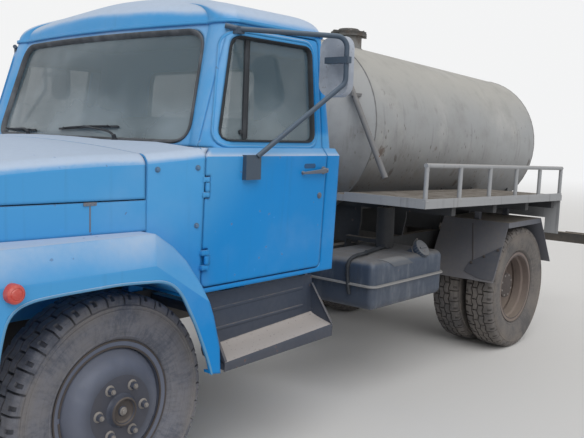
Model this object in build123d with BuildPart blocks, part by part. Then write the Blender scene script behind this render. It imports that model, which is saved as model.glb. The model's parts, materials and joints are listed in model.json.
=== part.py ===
import os
from math import asin, cos, radians, sin, tan

from build123d import *

os.makedirs("parts", exist_ok=True)

# Bonneted truck with a round vacuum tank. Millimetres. +X forward, +Y the truck's left, +Z up.
# The origin lies on the ground, in the middle of the truck's length and width.

# Driving sizes
overall_length = 6400.0
front_overhang = 980.0
wheelbase = 3770.0
front_track = 1700.0
rear_track = 1560.0
tyre_radius = 480.0
tyre_width = 232.0
seat_gap = 0.3
panel_gap = 8.0
turn_clearance = 0.05

x_front = overall_length / 2
x_tail = -overall_length / 2
x_front_axle = x_front - front_overhang
x_rear_axle = x_front_axle - wheelbase
z_axle = tyre_radius

# Frame
frame_width = 866.0
rail_height = 190.0
rail_flange = 68.0
rail_wall = 8.0
rail_top = 815.0
rail_front_gap = 165.0
rail_tail_gap = 120.0
crossmember_height = 100.0
crossmember_lift = 20.0
crossmember_depth = 70.0

# Wheels
rim_radius = 257.0
rim_flange_radius = 282.0
rim_half_width = 86.0
rim_wall = 9.0
disc_offset = 141.0
disc_face_radius = 150.0
hub_radius = 74.0
nut_circle = 222.25
nut_count = 6
nut_across = 30.0
nut_height = 26.0
hand_hole_count = 6
hand_hole_radius = 24.0
hand_hole_circle = 360.0

# Front axle and steering
kingpin_y = 742.0
kingpin_radius = 17.0
kingpin_eye_radius = 38.0
kingpin_eye_height = 84.0
ear_height = 34.0
spindle_radius = 28.0
beam_height = 84.0
beam_width = 70.0
beam_drop = 85.0
beam_flange = 18.0
groove_depth = 26.0
arm_length = 210.0
tie_rod_radius = 15.0
ball_radius = 17.0

# Rear axle
axle_tube_radius = 62.0
rear_spindle_radius = 44.0
bowl_radius = 195.0

# Cab
x_cab_rear = 918.0
x_door_front = 1858.0
x_door_rear = 1020.0
x_cowl_front = 2104.0
cab_floor = 930.0
cab_half_width = 1086.0
sill_half_width = 1062.0
cowl_half_width = 1008.0
z_belt = 1568.0
z_ridge = 1532.0
z_gutter = 2138.0
cab_wall = 48.0
door_bottom = 950.0
glass_thickness = 6.0

# Hood and front
x_hood_front = 3040.0
hood_centre_rear = 1583.0
x_fender_front = 3120.0
fender_half_width = 1150.0
fender_top = 1222.0

# Tank body
tank_radius = 608.0
tank_axis_z = 1698.0
tank_slope = 2.5
x_tank_seam = -100.0
tank_length = 2560.0
dome_depth = 290.0
body_slope = 1.4
platform_half_width = 1200.0
x_platform_front = 218.0
platform_length = 2100.0
platform_top = 1262.0
platform_depth = 42.0
platform_inner = 476.0
hatch_x = -560.0

sides = {"left": 1, "right": -1}


def cab_ring(z, x_rear, half_width, x_side, x_corner, y_corner, x_middle, rear_radius, inset=0.0):
    """Closed cab outline at one height: flat rear, straight sides, rounded pillars, bowed front."""
    xr = x_rear + inset
    hw = half_width - inset
    xs = x_side
    xc = x_corner - inset
    yc = y_corner - inset * 0.5
    xm = x_middle - inset
    rr = max(rear_radius - inset, 5.0)
    turn = rr * 0.2929
    bulge_x = (xs + xc) / 2 + (hw - yc) * 0.20
    bulge_y = (hw + yc) / 2 + (xc - xs) * 0.20
    with BuildSketch(Plane.XY.offset(z)) as ring:
        with BuildLine():
            Line((xr, -(hw - rr)), (xr, hw - rr))
            ThreePointArc((xr, hw - rr), (xr + turn, hw - turn), (xr + rr, hw))
            Line((xr + rr, hw), (xs, hw))
            ThreePointArc((xs, hw), (bulge_x, bulge_y), (xc, yc))
            ThreePointArc((xc, yc), (xm, 0), (xc, -yc))
            ThreePointArc((xc, -yc), (bulge_x, -bulge_y), (xs, -hw))
            Line((xs, -hw), (xr + rr, -hw))
            ThreePointArc((xr + rr, -hw), (xr + turn, -(hw - turn)), (xr, -(hw - rr)))
        make_face()
    return ring.sketch


# Cab rings: height, rear, half width, side end, pillar x, pillar y, middle of front, rear radius
glass_rings = [
    (z_belt - 10.0, x_cab_rear, 1050.0, 1690.0, 1768.0, 868.0, 1868.0, 60.0),
    (z_gutter, 896.0, 962.0, 1560.0, 1596.0, 806.0, 1668.0, 90.0),
]
roof_rings = [
    (z_gutter, 896.0, 962.0, 1560.0, 1596.0, 806.0, 1668.0, 90.0),
    (2195.0, 897.0, 934.0, 1548.0, 1590.0, 780.0, 1667.0, 105.0),
    (2250.0, 901.0, 806.0, 1480.0, 1545.0, 640.0, 1640.0, 150.0),
    (2300.0, 913.0, 576.0, 1375.0, 1445.0, 440.0, 1535.0, 165.0),
    (2338.0, 950.0, 320.0, 1255.0, 1320.0, 240.0, 1400.0, 130.0),
    (2354.0, 1010.0, 130.0, 1150.0, 1206.0, 95.0, 1260.0, 70.0),
]


def cab_section(x, half_top, half_bottom, z_middle, z_side, inset=0.0, z_bottom=cab_floor):
    """Cowl cross-section at one length: crowned top with rounded shoulders and flat sides."""
    ht = half_top - inset
    hb = half_bottom - inset
    zs = z_side - inset
    zm = z_middle - inset
    shoulder = 60.0
    drop = 42.0
    with BuildSketch(Plane.YZ.offset(x)) as section:
        with BuildLine():
            Line((-hb, z_bottom), (hb, z_bottom))
            Line((hb, z_bottom), (ht, zs - drop))
            ThreePointArc((ht, zs - drop), (ht - shoulder * 0.27, zs - drop * 0.30), (ht - shoulder, zs))
            ThreePointArc((ht - shoulder, zs), (0, zm), (-(ht - shoulder), zs))
            ThreePointArc(
                (-(ht - shoulder), zs), (-(ht - shoulder * 0.27), zs - drop * 0.30), (-ht, zs - drop)
            )
            Line((-ht, zs - drop), (-hb, z_bottom))
        make_face()
    return section.sketch


def lower_ring(z, half_width, inset=0.0):
    """Rounded rectangle of the cab below its windows at one height."""
    with BuildSketch(Plane.XY.offset(z)) as ring:
        with Locations(((x_cab_rear + x_door_front) / 2, 0)):
            Rectangle(x_door_front - x_cab_rear - 2 * inset, 2 * (half_width - inset))
    return ring.sketch


def cab_form(inset, floor):
    """Whole cab as one closed form, drawn in by an inset, from its floor to under the roof."""
    with BuildPart() as lower:
        add(lower_ring(floor, sill_half_width, inset))
        add(lower_ring(z_ridge, cab_half_width, inset))
        loft(ruled=True)
    with BuildPart() as shoulder:
        add(lower_ring(z_ridge, cab_half_width, inset))
        add(lower_ring(z_belt, 1054.0, inset))
        loft(ruled=True)
    with BuildPart() as cowl:
        cowl_end = x_cowl_front if inset == 0.0 else x_cowl_front - 110.0
        share = (cowl_end - x_door_front) / (x_cowl_front - x_door_front)
        half_end = cab_half_width + (cowl_half_width - cab_half_width) * share
        add(cab_section(x_door_front - inset, cab_half_width, sill_half_width, 1606.0, 1566.0, inset, floor))
        add(
            cab_section(
                cowl_end,
                half_end,
                half_end - 12.0,
                1606.0 + (hood_centre_rear - 1606.0) * share,
                1566.0 + (1540.0 - 1566.0) * share,
                inset,
                floor,
            )
        )
        loft(ruled=True)
    with BuildPart() as glasshouse:
        for z, *rest in glass_rings:
            add(cab_ring(z, *rest, inset=inset))
        loft(ruled=True)
    with BuildPart() as form:
        add(lower.part)
        add(shoulder.part)
        add(cowl.part)
        add(glasshouse.part)
    return form.part


# Door and window outlines, seen from the side: length, height
door_points = [
    (x_door_front, door_bottom),
    (x_door_front, z_ridge + 8.0),
    (1772.0, 1590.0),
    (1604.0, 2124.0),
    (978.0, 2124.0),
    (x_door_rear - 4.0, z_ridge),
    (x_door_rear, door_bottom),
]
window_points = [(1722.0, 1600.0), (1592.0, 2076.0), (1046.0, 2076.0), (1084.0, 1598.0)]


def side_prism(points, radius, inset, y_from, y_to):
    """Outline seen from the side, rounded and drawn in, as a bar across the truck."""
    with BuildPart() as prism:
        with BuildSketch(Plane.XZ.offset(-y_from)) as outline:
            with BuildLine():
                Polyline(*points, close=True)
            make_face()
            if radius:
                fillet(outline.vertices(), radius)
            if inset:
                offset(amount=-inset, mode=Mode.REPLACE)
        extrude(amount=-(y_to - y_from))
    return prism.part


def save(piece, label):
    """Name a finished piece and write it out."""
    piece.label = label
    export_step(piece, "parts/" + label + ".step")


# Cab shell: the cab less its doors, windows and roof
windscreen_points = [(860.0, 1584.0), (796.0, 2112.0), (-796.0, 2112.0), (-860.0, 1584.0)]
rear_window_points = [(500.0, 1680.0), (480.0, 2000.0), (-480.0, 2000.0), (-500.0, 1680.0)]
door_corner = 34.0
window_corner = 40.0
windscreen_corner = 78.0
door_cut_inner = 934.0
arch_radius = 545.0
cab_mount_x = [1080.0, 1720.0]

# Door hinges: a barrel on the door turns on a pin between two lugs on the cab's front pillar
door_hinge_x = 1838.0
door_hinge_y = 1078.0
door_hinge_z = [1080.0, 1400.0]
door_barrel_radius = 11.0
door_barrel_height = 40.0
door_pin_radius = 5.0
door_lug_height = 22.0
door_lug_gap = 2.0
door_pocket_rear = 16.0
door_pocket_depth = 22.0


def arched(form, radius):
    """A cab form less the round space that the front wheels steer in."""
    with BuildPart() as cut:
        add(form)
        with Locations((x_front_axle, 0, z_axle)):
            Cylinder(radius, 2 * fender_half_width, rotation=(90, 0, 0), mode=Mode.SUBTRACT)
    return cut.part


cab_outer = arched(cab_form(0.0, cab_floor), arch_radius)
cab_inner = arched(cab_form(cab_wall, cab_floor + 36.0), arch_radius + 40.0)


def front_prism(points, radius, inset, x_from, x_to):
    """Outline seen from the front, rounded and drawn in, as a bar along the truck."""
    with BuildPart() as prism:
        with BuildSketch(Plane.YZ.offset(x_from)) as outline:
            with BuildLine():
                Polyline(*points, close=True)
            make_face()
            fillet(outline.vertices(), radius)
            if inset:
                offset(amount=-inset, mode=Mode.REPLACE)
        extrude(amount=x_to - x_from)
    return prism.part


# Hood hinge: a pin across a slot in the cowl, at each side
hinge_x = 1915.0
hinge_z = 1530.0
hinge_pin_radius = 9.0
hinge_y = 560.0
hinge_slot = 70.0
hinge_slot_rear = 40.0
hinge_slot_bottom = 1360.0
hinge_slot_height = 188.0
hinge_arm = 14.0
hinge_eye = 17.0

with BuildPart() as cab_shell:
    add(cab_outer)
    add(cab_inner, mode=Mode.SUBTRACT)
    with BuildSketch(Plane.YZ.offset(x_cowl_front - 100.0)):
        with Locations((0, (cab_floor + 1520.0) / 2 - 200.0)):
            Rectangle(2 * cowl_half_width - 60.0, 1520.0 - cab_floor + 400.0)
    extrude(amount=200.0, mode=Mode.SUBTRACT)
    for side in sides.values():
        with Locations((hinge_x - hinge_slot_rear, side * hinge_y, hinge_slot_bottom)):
            Box(
                x_cowl_front + hinge_slot_rear - hinge_x + 10.0,
                hinge_slot,
                hinge_slot_height,
                align=(Align.MIN, Align.CENTER, Align.MIN),
                mode=Mode.SUBTRACT,
            )
        with Locations((hinge_x, side * hinge_y, hinge_z)):
            Cylinder(hinge_pin_radius, hinge_slot + 8.0, rotation=(90, 0, 0))
    for side in sides.values():
        y_from, y_to = (door_cut_inner, 1300.0) if side > 0 else (-1300.0, -door_cut_inner)
        add(side_prism(door_points, door_corner, 0.0, y_from, y_to), mode=Mode.SUBTRACT)
    add(front_prism(windscreen_points, windscreen_corner, 0.0, 1500.0, 1960.0), mode=Mode.SUBTRACT)
    add(front_prism(rear_window_points, 60.0, 0.0, 800.0, 1100.0), mode=Mode.SUBTRACT)
    for side in sides.values():
        for x in cab_mount_x:
            with Locations((x, side * (frame_width / 2 - rail_flange / 2), rail_top + seat_gap)):
                Box(90.0, 56.0, cab_floor - rail_top, align=(Align.CENTER, Align.CENTER, Align.MIN))
        for z in door_hinge_z:
            lug_offset = (door_barrel_height + door_lug_height) / 2 + door_lug_gap
            for z_lug in (z - lug_offset, z + lug_offset):
                with Locations((door_hinge_x, side * door_hinge_y, z_lug)):
                    Cylinder(door_barrel_radius, door_lug_height)
                with Locations((door_hinge_x, side * (door_hinge_y - 3.0), z_lug)):
                    Box(28.0, 16.0, door_lug_height, align=(Align.MIN, Align.CENTER, Align.CENTER))
            with Locations((door_hinge_x, side * door_hinge_y, z)):
                Cylinder(door_pin_radius, 2 * lug_offset)
save(cab_shell.part, "cab_shell")


# Cab roof: a shallow dome over a gutter strip
gutter_reach = 12.0
gutter_height = 16.0

roof_wall = 34.0
with BuildPart() as roof_hollow:
    for z, *rest in roof_rings[:-1]:
        add(cab_ring(z - roof_wall, *rest, inset=roof_wall))
    loft()
with BuildPart() as gutter:
    add(cab_ring(*roof_rings[0], inset=-gutter_reach))
    extrude(amount=gutter_height)
    add(cab_ring(*roof_rings[0], inset=roof_wall))
    extrude(amount=gutter_height, mode=Mode.SUBTRACT)
with BuildPart() as cab_roof:
    for z, *rest in roof_rings:
        add(cab_ring(z, *rest))
    loft()
    add(roof_hollow.part, mode=Mode.SUBTRACT)
    add(gutter.part)
save(cab_roof.part, "cab_roof")

# Doors: the cab's wall inside the door outline, with a window and a hinge axis at the front edge
for label, side in sides.items():
    y_from, y_to = (door_cut_inner, 1300.0) if side > 0 else (-1300.0, -door_cut_inner)
    with BuildPart() as door:
        add(cab_outer)
        add(cab_inner, mode=Mode.SUBTRACT)
        add(side_prism(door_points, door_corner, panel_gap, y_from, y_to), mode=Mode.INTERSECT)
        add(side_prism(window_points, window_corner, 0.0, y_from, y_to), mode=Mode.SUBTRACT)
        for z in door_hinge_z:
            pocket_half = door_barrel_height / 2 + door_lug_height + door_lug_gap + 6.0
            with Locations((door_hinge_x - door_pocket_rear, side * (door_hinge_y - door_pocket_depth), z)):
                Box(
                    60.0,
                    120.0,
                    2 * pocket_half,
                    align=(Align.MIN, Align.MIN if side > 0 else Align.MAX, Align.CENTER),
                    mode=Mode.SUBTRACT,
                )
            with Locations((door_hinge_x, side * door_hinge_y, z)):
                Cylinder(door_barrel_radius, door_barrel_height)
            with Locations((door_hinge_x, side * (door_hinge_y - 8.0), z)):
                Box(24.0, 16.0, door_barrel_height, align=(Align.MAX, Align.CENTER, Align.CENTER))
            with Locations((door_hinge_x, side * door_hinge_y, z)):
                Cylinder(door_pin_radius + turn_clearance, 2 * door_barrel_height, mode=Mode.SUBTRACT)
    save(door.part, "door_" + label)

# Glass: thin slices of the glasshouse inside each window
glass_depth = 16.0
with BuildPart() as glass_skin:
    for z, *rest in glass_rings:
        add(cab_ring(z, *rest, inset=glass_depth))
    loft(ruled=True)
with BuildPart() as glass_core:
    for z, *rest in glass_rings:
        add(cab_ring(z, *rest, inset=glass_depth + glass_thickness))
    loft(ruled=True)
for label, side in sides.items():
    y_from, y_to = (door_cut_inner, 1300.0) if side > 0 else (-1300.0, -door_cut_inner)
    with BuildPart() as pane:
        add(glass_skin.part)
        add(glass_core.part, mode=Mode.SUBTRACT)
        add(side_prism(window_points, window_corner, seat_gap, y_from, y_to), mode=Mode.INTERSECT)
    save(pane.part, "door_glass_" + label)
with BuildPart() as openings:
    add(front_prism(windscreen_points, windscreen_corner, seat_gap, 1500.0, 1960.0))
    add(front_prism(rear_window_points, 60.0, seat_gap, 800.0, 1100.0))
with BuildPart() as cab_glass:
    add(glass_skin.part)
    add(glass_core.part, mode=Mode.SUBTRACT)
    add(openings.part, mode=Mode.INTERSECT)
save(cab_glass.part, "cab_glass")

# Frame: two channel rails and the members between them
x_rail_front = x_front - rail_front_gap
x_rail_rear = x_tail + rail_tail_gap
rail_length = x_rail_front - x_rail_rear
rail_y = frame_width / 2
rail_middle = rail_top - rail_height / 2

with BuildPart() as frame_rails:
    for side in sides.values():
        with BuildSketch(Plane.YZ.offset(x_rail_rear)):
            with Locations((side * (rail_y - rail_flange / 2), rail_middle)):
                Rectangle(rail_flange, rail_height)
            with Locations((side * (rail_y - rail_flange / 2 - rail_wall), rail_middle)):
                Rectangle(rail_flange, rail_height - 2 * rail_wall, mode=Mode.SUBTRACT)
        extrude(amount=rail_length)
save(frame_rails.part, "frame_rails")

crossmember_x = [x_rail_front - 70.0, 1360.0, 560.0, -560.0, -2240.0, x_rail_rear + 60.0]
with BuildPart() as crossmembers:
    for x in crossmember_x:
        with BuildSketch(Plane.XZ.offset(-(rail_y - rail_wall))):
            with Locations((x, rail_middle + crossmember_lift)):
                Rectangle(crossmember_depth, crossmember_height)
            with Locations((x - rail_wall, rail_middle + crossmember_lift)):
                Rectangle(crossmember_depth, crossmember_height - 2 * rail_wall, mode=Mode.SUBTRACT)
        extrude(amount=2 * (rail_y - rail_wall))
save(crossmembers.part, "crossmembers")

# Front bumper: a pressed channel with swept ends, on two brackets, with two tow eyes
bumper_half = 1130.0
bumper_height = 200.0
bumper_bottom = 560.0
bumper_depth = 66.0
bumper_sweep = 120.0
tow_eye_y = 330.0
tow_eye_radius = 18.0
tow_eye_wall = 24.0
tow_eye_reach = 60.0


def bumper_plan(set_back, wall):
    """Plan of the bumper from its face back, less a wall at the face and the ends."""
    face = x_front - tow_eye_reach - wall
    half = bumper_half - wall
    with BuildSketch(Plane.XY.offset(bumper_bottom + wall)) as plan:
        with BuildLine():
            ThreePointArc((face - 36.0, -half + 170.0), (face, 0), (face - 36.0, half - 170.0))
            Line((face - 36.0, half - 170.0), (face - bumper_sweep, half))
            Line((face - bumper_sweep, half), (face - bumper_sweep - set_back, half))
            Line((face - bumper_sweep - set_back, half), (face - set_back - 36.0, half - 190.0))
            Line((face - set_back - 36.0, half - 190.0), (face - set_back - 36.0, -half + 190.0))
            Line((face - set_back - 36.0, -half + 190.0), (face - bumper_sweep - set_back, -half))
            Line((face - bumper_sweep - set_back, -half), (face - bumper_sweep, -half))
            Line((face - bumper_sweep, -half), (face - 36.0, -half + 170.0))
        make_face()
    return plan.sketch


bumper_wall = 6.0
with BuildPart() as bumper_hollow:
    add(bumper_plan(bumper_depth + 40.0, bumper_wall))
    extrude(amount=bumper_height - 2 * bumper_wall)
with BuildPart() as front_bumper:
    add(bumper_plan(bumper_depth, 0.0))
    extrude(amount=bumper_height)
    add(bumper_hollow.part, mode=Mode.SUBTRACT)
    for side in sides.values():
        with BuildSketch(Plane.XY.offset(bumper_bottom + 80.0)):
            with Locations((x_front - tow_eye_reach / 2 - 12.0, side * tow_eye_y)):
                SlotOverall(tow_eye_reach + 24.0, 60.0)
            with Locations((x_front - 30.0, side * tow_eye_y)):
                Circle(tow_eye_radius, mode=Mode.SUBTRACT)
        extrude(amount=tow_eye_wall)
        with BuildSketch(Plane.YZ.offset(x_rail_front + seat_gap)):
            with Locations((side * (rail_y - 25.0), rail_middle - 20.0)):
                Rectangle(50.0, 100.0)
        extrude(amount=x_front - tow_eye_reach - 10.0 - x_rail_front)
save(front_bumper.part, "front_bumper")

# Front axle: a forged beam of I section with an eye and a kingpin at each end
with BuildPart() as front_axle:
    beam_end = kingpin_y - kingpin_eye_radius + 6.0
    with BuildSketch(Plane.YZ.offset(x_front_axle - beam_width / 2)) as beam:
        with BuildLine():
            Polyline(
                (beam_end, z_axle + beam_height / 2),
                (beam_end, z_axle - beam_height / 2),
                (beam_end - 24.0, z_axle - beam_height / 2),
                (560.0, z_axle - beam_height / 2 - beam_drop),
                (-560.0, z_axle - beam_height / 2 - beam_drop),
                (-beam_end + 24.0, z_axle - beam_height / 2),
                (-beam_end, z_axle - beam_height / 2),
                (-beam_end, z_axle + beam_height / 2),
                (-540.0, z_axle + beam_height / 2 - beam_drop),
                (540.0, z_axle + beam_height / 2 - beam_drop),
                close=True,
            )
        make_face()
    extrude(amount=beam_width)
    with BuildSketch(Plane.YZ.offset(x_front_axle - beam_width / 2)) as grooves:
        add(beam.sketch)
        offset(amount=-beam_flange, mode=Mode.REPLACE)
    extrude(grooves.sketch, amount=groove_depth, mode=Mode.SUBTRACT)
    extrude(
        grooves.sketch.moved(Location((beam_width, 0, 0))), amount=-groove_depth, mode=Mode.SUBTRACT
    )
    for side in sides.values():
        with Locations((x_front_axle, side * kingpin_y, z_axle)):
            Cylinder(kingpin_eye_radius, kingpin_eye_height)
            Cylinder(kingpin_radius, kingpin_eye_height + 2 * ear_height + 12.0)
save(front_axle.part, "front_axle")

# Steering knuckles: two ears on the kingpin, a web, a spindle and a steering arm
ear_gap = 1.0
web_inner = 52.0
web_wall = 26.0
arm_height = 26.0
front_wheel_y = front_track / 2
mount_plane = front_wheel_y + disc_offset
x_ball = x_front_axle - arm_length
arm_z = z_axle - kingpin_eye_height / 2 - ear_height
for label, side in sides.items():
    with BuildPart() as knuckle:
        for direction in (1, -1):
            ear_z = z_axle + direction * (kingpin_eye_height / 2 + ear_gap + ear_height / 2)
            with BuildSketch(Plane.XY.offset(ear_z - ear_height / 2)):
                with Locations((x_front_axle, side * kingpin_y)):
                    Circle(kingpin_eye_radius)
                with Locations((x_front_axle, side * (kingpin_y + web_inner / 2))):
                    Rectangle(2 * kingpin_eye_radius, web_inner)
            extrude(amount=ear_height)
        with Locations((x_front_axle, side * (kingpin_y + web_inner), z_axle)):
            Box(2 * kingpin_eye_radius, web_wall, kingpin_eye_height + 2 * ear_height + 2 * ear_gap)
        with BuildSketch(Plane.XZ.offset(-side * (kingpin_y + web_inner))):
            with Locations((x_front_axle, z_axle)):
                Circle(spindle_radius)
        extrude(amount=-side * (mount_plane - kingpin_y - web_inner))
        with BuildSketch(Plane.XY.offset(arm_z - ear_gap)):
            with BuildLine():
                Polyline(
                    (x_front_axle, side * (kingpin_y - 30.0)),
                    (x_ball, side * (kingpin_y - ball_radius - 6.0)),
                    (x_ball, side * (kingpin_y + ball_radius + 6.0)),
                    (x_front_axle, side * (kingpin_y + 34.0)),
                    close=True,
                )
            make_face()
            with Locations((x_ball, side * kingpin_y)):
                Circle(ball_radius + 6.0)
        extrude(amount=arm_height)
        with Locations((x_ball, side * kingpin_y, arm_z - ear_gap - 24.0)):
            Cylinder(ball_radius - 7.0, 48.0)
        with Locations((x_front_axle, side * kingpin_y, z_axle)):
            Cylinder(kingpin_radius + turn_clearance, 400.0, mode=Mode.SUBTRACT)
    save(knuckle.part, "knuckle_" + label)

# Tie rod: a tube between two eyes that hang on the knuckles' pins
eye_height = 34.0
tie_z = arm_z - ear_gap - 3.0 - eye_height / 2
with BuildPart() as tie_rod:
    for side in sides.values():
        with Locations((x_ball, side * kingpin_y, tie_z)):
            Cylinder(ball_radius + 6.0, eye_height)
    with BuildSketch(Plane.XZ.offset(-(kingpin_y - ball_radius))):
        with Locations((x_ball, tie_z)):
            Circle(tie_rod_radius)
    extrude(amount=2 * (kingpin_y - ball_radius))
    for side in sides.values():
        with Locations((x_ball, side * kingpin_y, tie_z)):
            Cylinder(ball_radius - 7.0 + turn_clearance, 3 * eye_height, mode=Mode.SUBTRACT)
save(tie_rod.part, "tie_rod")


# Wheels. Each profile is drawn as radius and distance from the wheel's middle, outboard positive
def revolve_about_wheel(points, x_axle, y_middle, direction):
    """Turn a closed radius-and-across outline about the wheel's axis."""
    with BuildPart() as ring:
        with BuildSketch(Plane.YZ.offset(x_axle)):
            with BuildLine():
                corners = [(y_middle + direction * across, z_axle + radius) for radius, across in points]
                Polyline(*corners, close=True)
            make_face()
        revolve(axis=Axis((x_axle, 0, z_axle), (0, 1, 0)))
    return ring.part


rim_points = [
    (rim_flange_radius, -rim_half_width),
    (rim_flange_radius, -rim_half_width + rim_wall),
    (rim_radius, -rim_half_width + rim_wall + 6.0),
    (rim_radius, -30.0),
    (rim_radius - 12.0, -18.0),
    (rim_radius - 12.0, 30.0),
    (rim_radius, 42.0),
    (rim_radius, rim_half_width - rim_wall - 6.0),
    (rim_flange_radius, rim_half_width - rim_wall),
    (rim_flange_radius, rim_half_width),
    (rim_radius - rim_wall, rim_half_width - 2.0),
    (rim_radius - rim_wall, 48.0),
    (rim_radius - rim_wall - 12.0, 36.0),
    (rim_radius - rim_wall - 12.0, -24.0),
    (rim_radius - rim_wall, -36.0),
    (rim_radius - rim_wall, -rim_half_width + 2.0),
]
disc_points = [
    (rim_radius - rim_wall + 0.5, 64.0),
    (rim_radius - rim_wall - 14.0, 92.0),
    (200.0, 124.0),
    (disc_face_radius + 12.0, disc_offset),
    (hub_radius, disc_offset),
    (hub_radius, disc_offset - 12.0),
    (disc_face_radius + 4.0, disc_offset - 12.0),
    (190.0, 112.0),
    (rim_radius - rim_wall - 26.0, 84.0),
    (rim_radius - rim_wall - 10.0, 52.0),
    (rim_radius - rim_wall + 0.5, 52.0),
]


def wheel_and_disc(x_axle, y_middle, direction):
    """One rim with its disc, hand holes cut, dished towards a direction along Y."""
    with BuildPart() as one:
        add(revolve_about_wheel(rim_points, x_axle, y_middle, direction))
        add(revolve_about_wheel(disc_points, x_axle, y_middle, direction))
        with BuildSketch(Plane.XZ.offset(-(y_middle - direction * 20.0))):
            with Locations((x_axle, z_axle)):
                with PolarLocations(hand_hole_circle / 2 + 12.0, hand_hole_count, start_angle=30.0):
                    SlotOverall(2.6 * hand_hole_radius, 1.5 * hand_hole_radius, rotation=90.0)
        extrude(amount=-direction * 180.0, mode=Mode.SUBTRACT)
    return one.part


def hub_with_nuts(x_axle, y_face, direction, hub_steps, bore_radius, bore_depth):
    """Turned hub on the wheel's axis with wheel nuts on the disc's face."""
    with BuildPart() as hub:
        add(revolve_about_wheel(hub_steps, x_axle, y_face, direction))
        with BuildSketch(Plane.XZ.offset(-y_face)):
            with Locations((x_axle, z_axle)):
                with PolarLocations(nut_circle / 2, nut_count):
                    RegularPolygon(nut_across / 2, 6, major_radius=False)
        extrude(amount=-direction * nut_height)
        with BuildSketch(Plane.XZ.offset(-(y_face + direction * bore_depth[0]))):
            with Locations((x_axle, z_axle)):
                Circle(bore_radius)
        extrude(amount=-direction * (bore_depth[1] - bore_depth[0]), mode=Mode.SUBTRACT)
    return hub.part


tyre_half = tyre_width / 2
tyre_inner = rim_radius + seat_gap
tyre_points = [
    (tyre_inner, -rim_half_width + rim_wall + 7.0),
    (rim_flange_radius + 1.0, -rim_half_width + rim_wall + 1.0),
    (rim_flange_radius + 4.0, -rim_half_width - 6.0),
    (rim_flange_radius + 50.0, -tyre_half + 4.0),
    (rim_flange_radius + 90.0, -tyre_half),
    (tyre_radius - 62.0, -tyre_half + 4.0),
    (tyre_radius - 20.0, -tyre_half + 12.0),
    (tyre_radius - 4.0, -tyre_half + 32.0),
    (tyre_radius, -tyre_half + 62.0),
]
tyre_outline = tyre_points + [(radius, -across) for radius, across in reversed(tyre_points)]

front_hub_steps = [
    (60.0, -92.0),
    (60.0, -10.0),
    (hub_radius + 0.5, -10.0),
    (hub_radius + 0.5, 4.0),
    (56.0, 16.0),
    (52.0, 62.0),
    (34.0, 74.0),
    (0.0, 76.0),
    (0.0, -92.0),
]
for label, side in sides.items():
    y_wheel = side * front_wheel_y
    y_face = side * mount_plane
    with BuildPart() as wheel:
        add(wheel_and_disc(x_front_axle, y_wheel, side))
        add(
            hub_with_nuts(
                x_front_axle, y_face, side, front_hub_steps, spindle_radius + turn_clearance, (-100.0, 3.0)
            )
        )
    save(wheel.part, "wheel_front_" + label)
    with BuildPart() as tyre:
        add(revolve_about_wheel(tyre_outline, x_front_axle, y_wheel, side))
    save(tyre.part, "tyre_front_" + label)

rear_mount_y = rear_track / 2
rear_hub_steps = [
    (78.0, -120.0),
    (78.0, -14.0),
    (96.0, -14.0),
    (96.0, 16.0),
    (70.0, 24.0),
    (66.0, 132.0),
    (98.0, 136.0),
    (98.0, 150.0),
    (40.0, 158.0),
    (0.0, 160.0),
    (0.0, -120.0),
]
for label, side in sides.items():
    y_face = side * rear_mount_y
    with BuildPart() as twin:
        add(wheel_and_disc(x_rear_axle, y_face - side * disc_offset, side))
        add(wheel_and_disc(x_rear_axle, y_face + side * disc_offset, -side))
        add(
            hub_with_nuts(
                x_rear_axle, y_face, side, rear_hub_steps, rear_spindle_radius + turn_clearance, (-130.0, 60.0)
            )
        )
    save(twin.part, "wheels_rear_" + label)
    with BuildPart() as tyres:
        add(revolve_about_wheel(tyre_outline, x_rear_axle, y_face - side * disc_offset, side))
        add(revolve_about_wheel(tyre_outline, x_rear_axle, y_face + side * disc_offset, side))
    save(tyres.part, "tyres_rear_" + label)

# Rear axle: tubes, a bowl for the gears and a spindle at each end
tube_end = rear_mount_y - 130.0
spindle_reach = rear_mount_y + 56.0
with BuildPart() as rear_axle:
    with BuildSketch(Plane.XZ.offset(-tube_end)):
        with Locations((x_rear_axle, z_axle)):
            Circle(axle_tube_radius)
    extrude(amount=2 * tube_end)
    with BuildSketch(Plane.XZ.offset(-spindle_reach)):
        with Locations((x_rear_axle, z_axle)):
            Circle(rear_spindle_radius)
    extrude(amount=2 * spindle_reach)
    with Locations((x_rear_axle, 0, z_axle)):
        Sphere(bowl_radius)
        Cylinder(70.0, 300.0, rotation=(0, 90, 0), align=(Align.CENTER, Align.CENTER, Align.MIN))
save(rear_axle.part, "rear_axle")


# Leaf springs: curved leaves stacked under each rail, with eyes and hangers
leaf_width = 70.0
leaf_thick = 9.0


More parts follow.
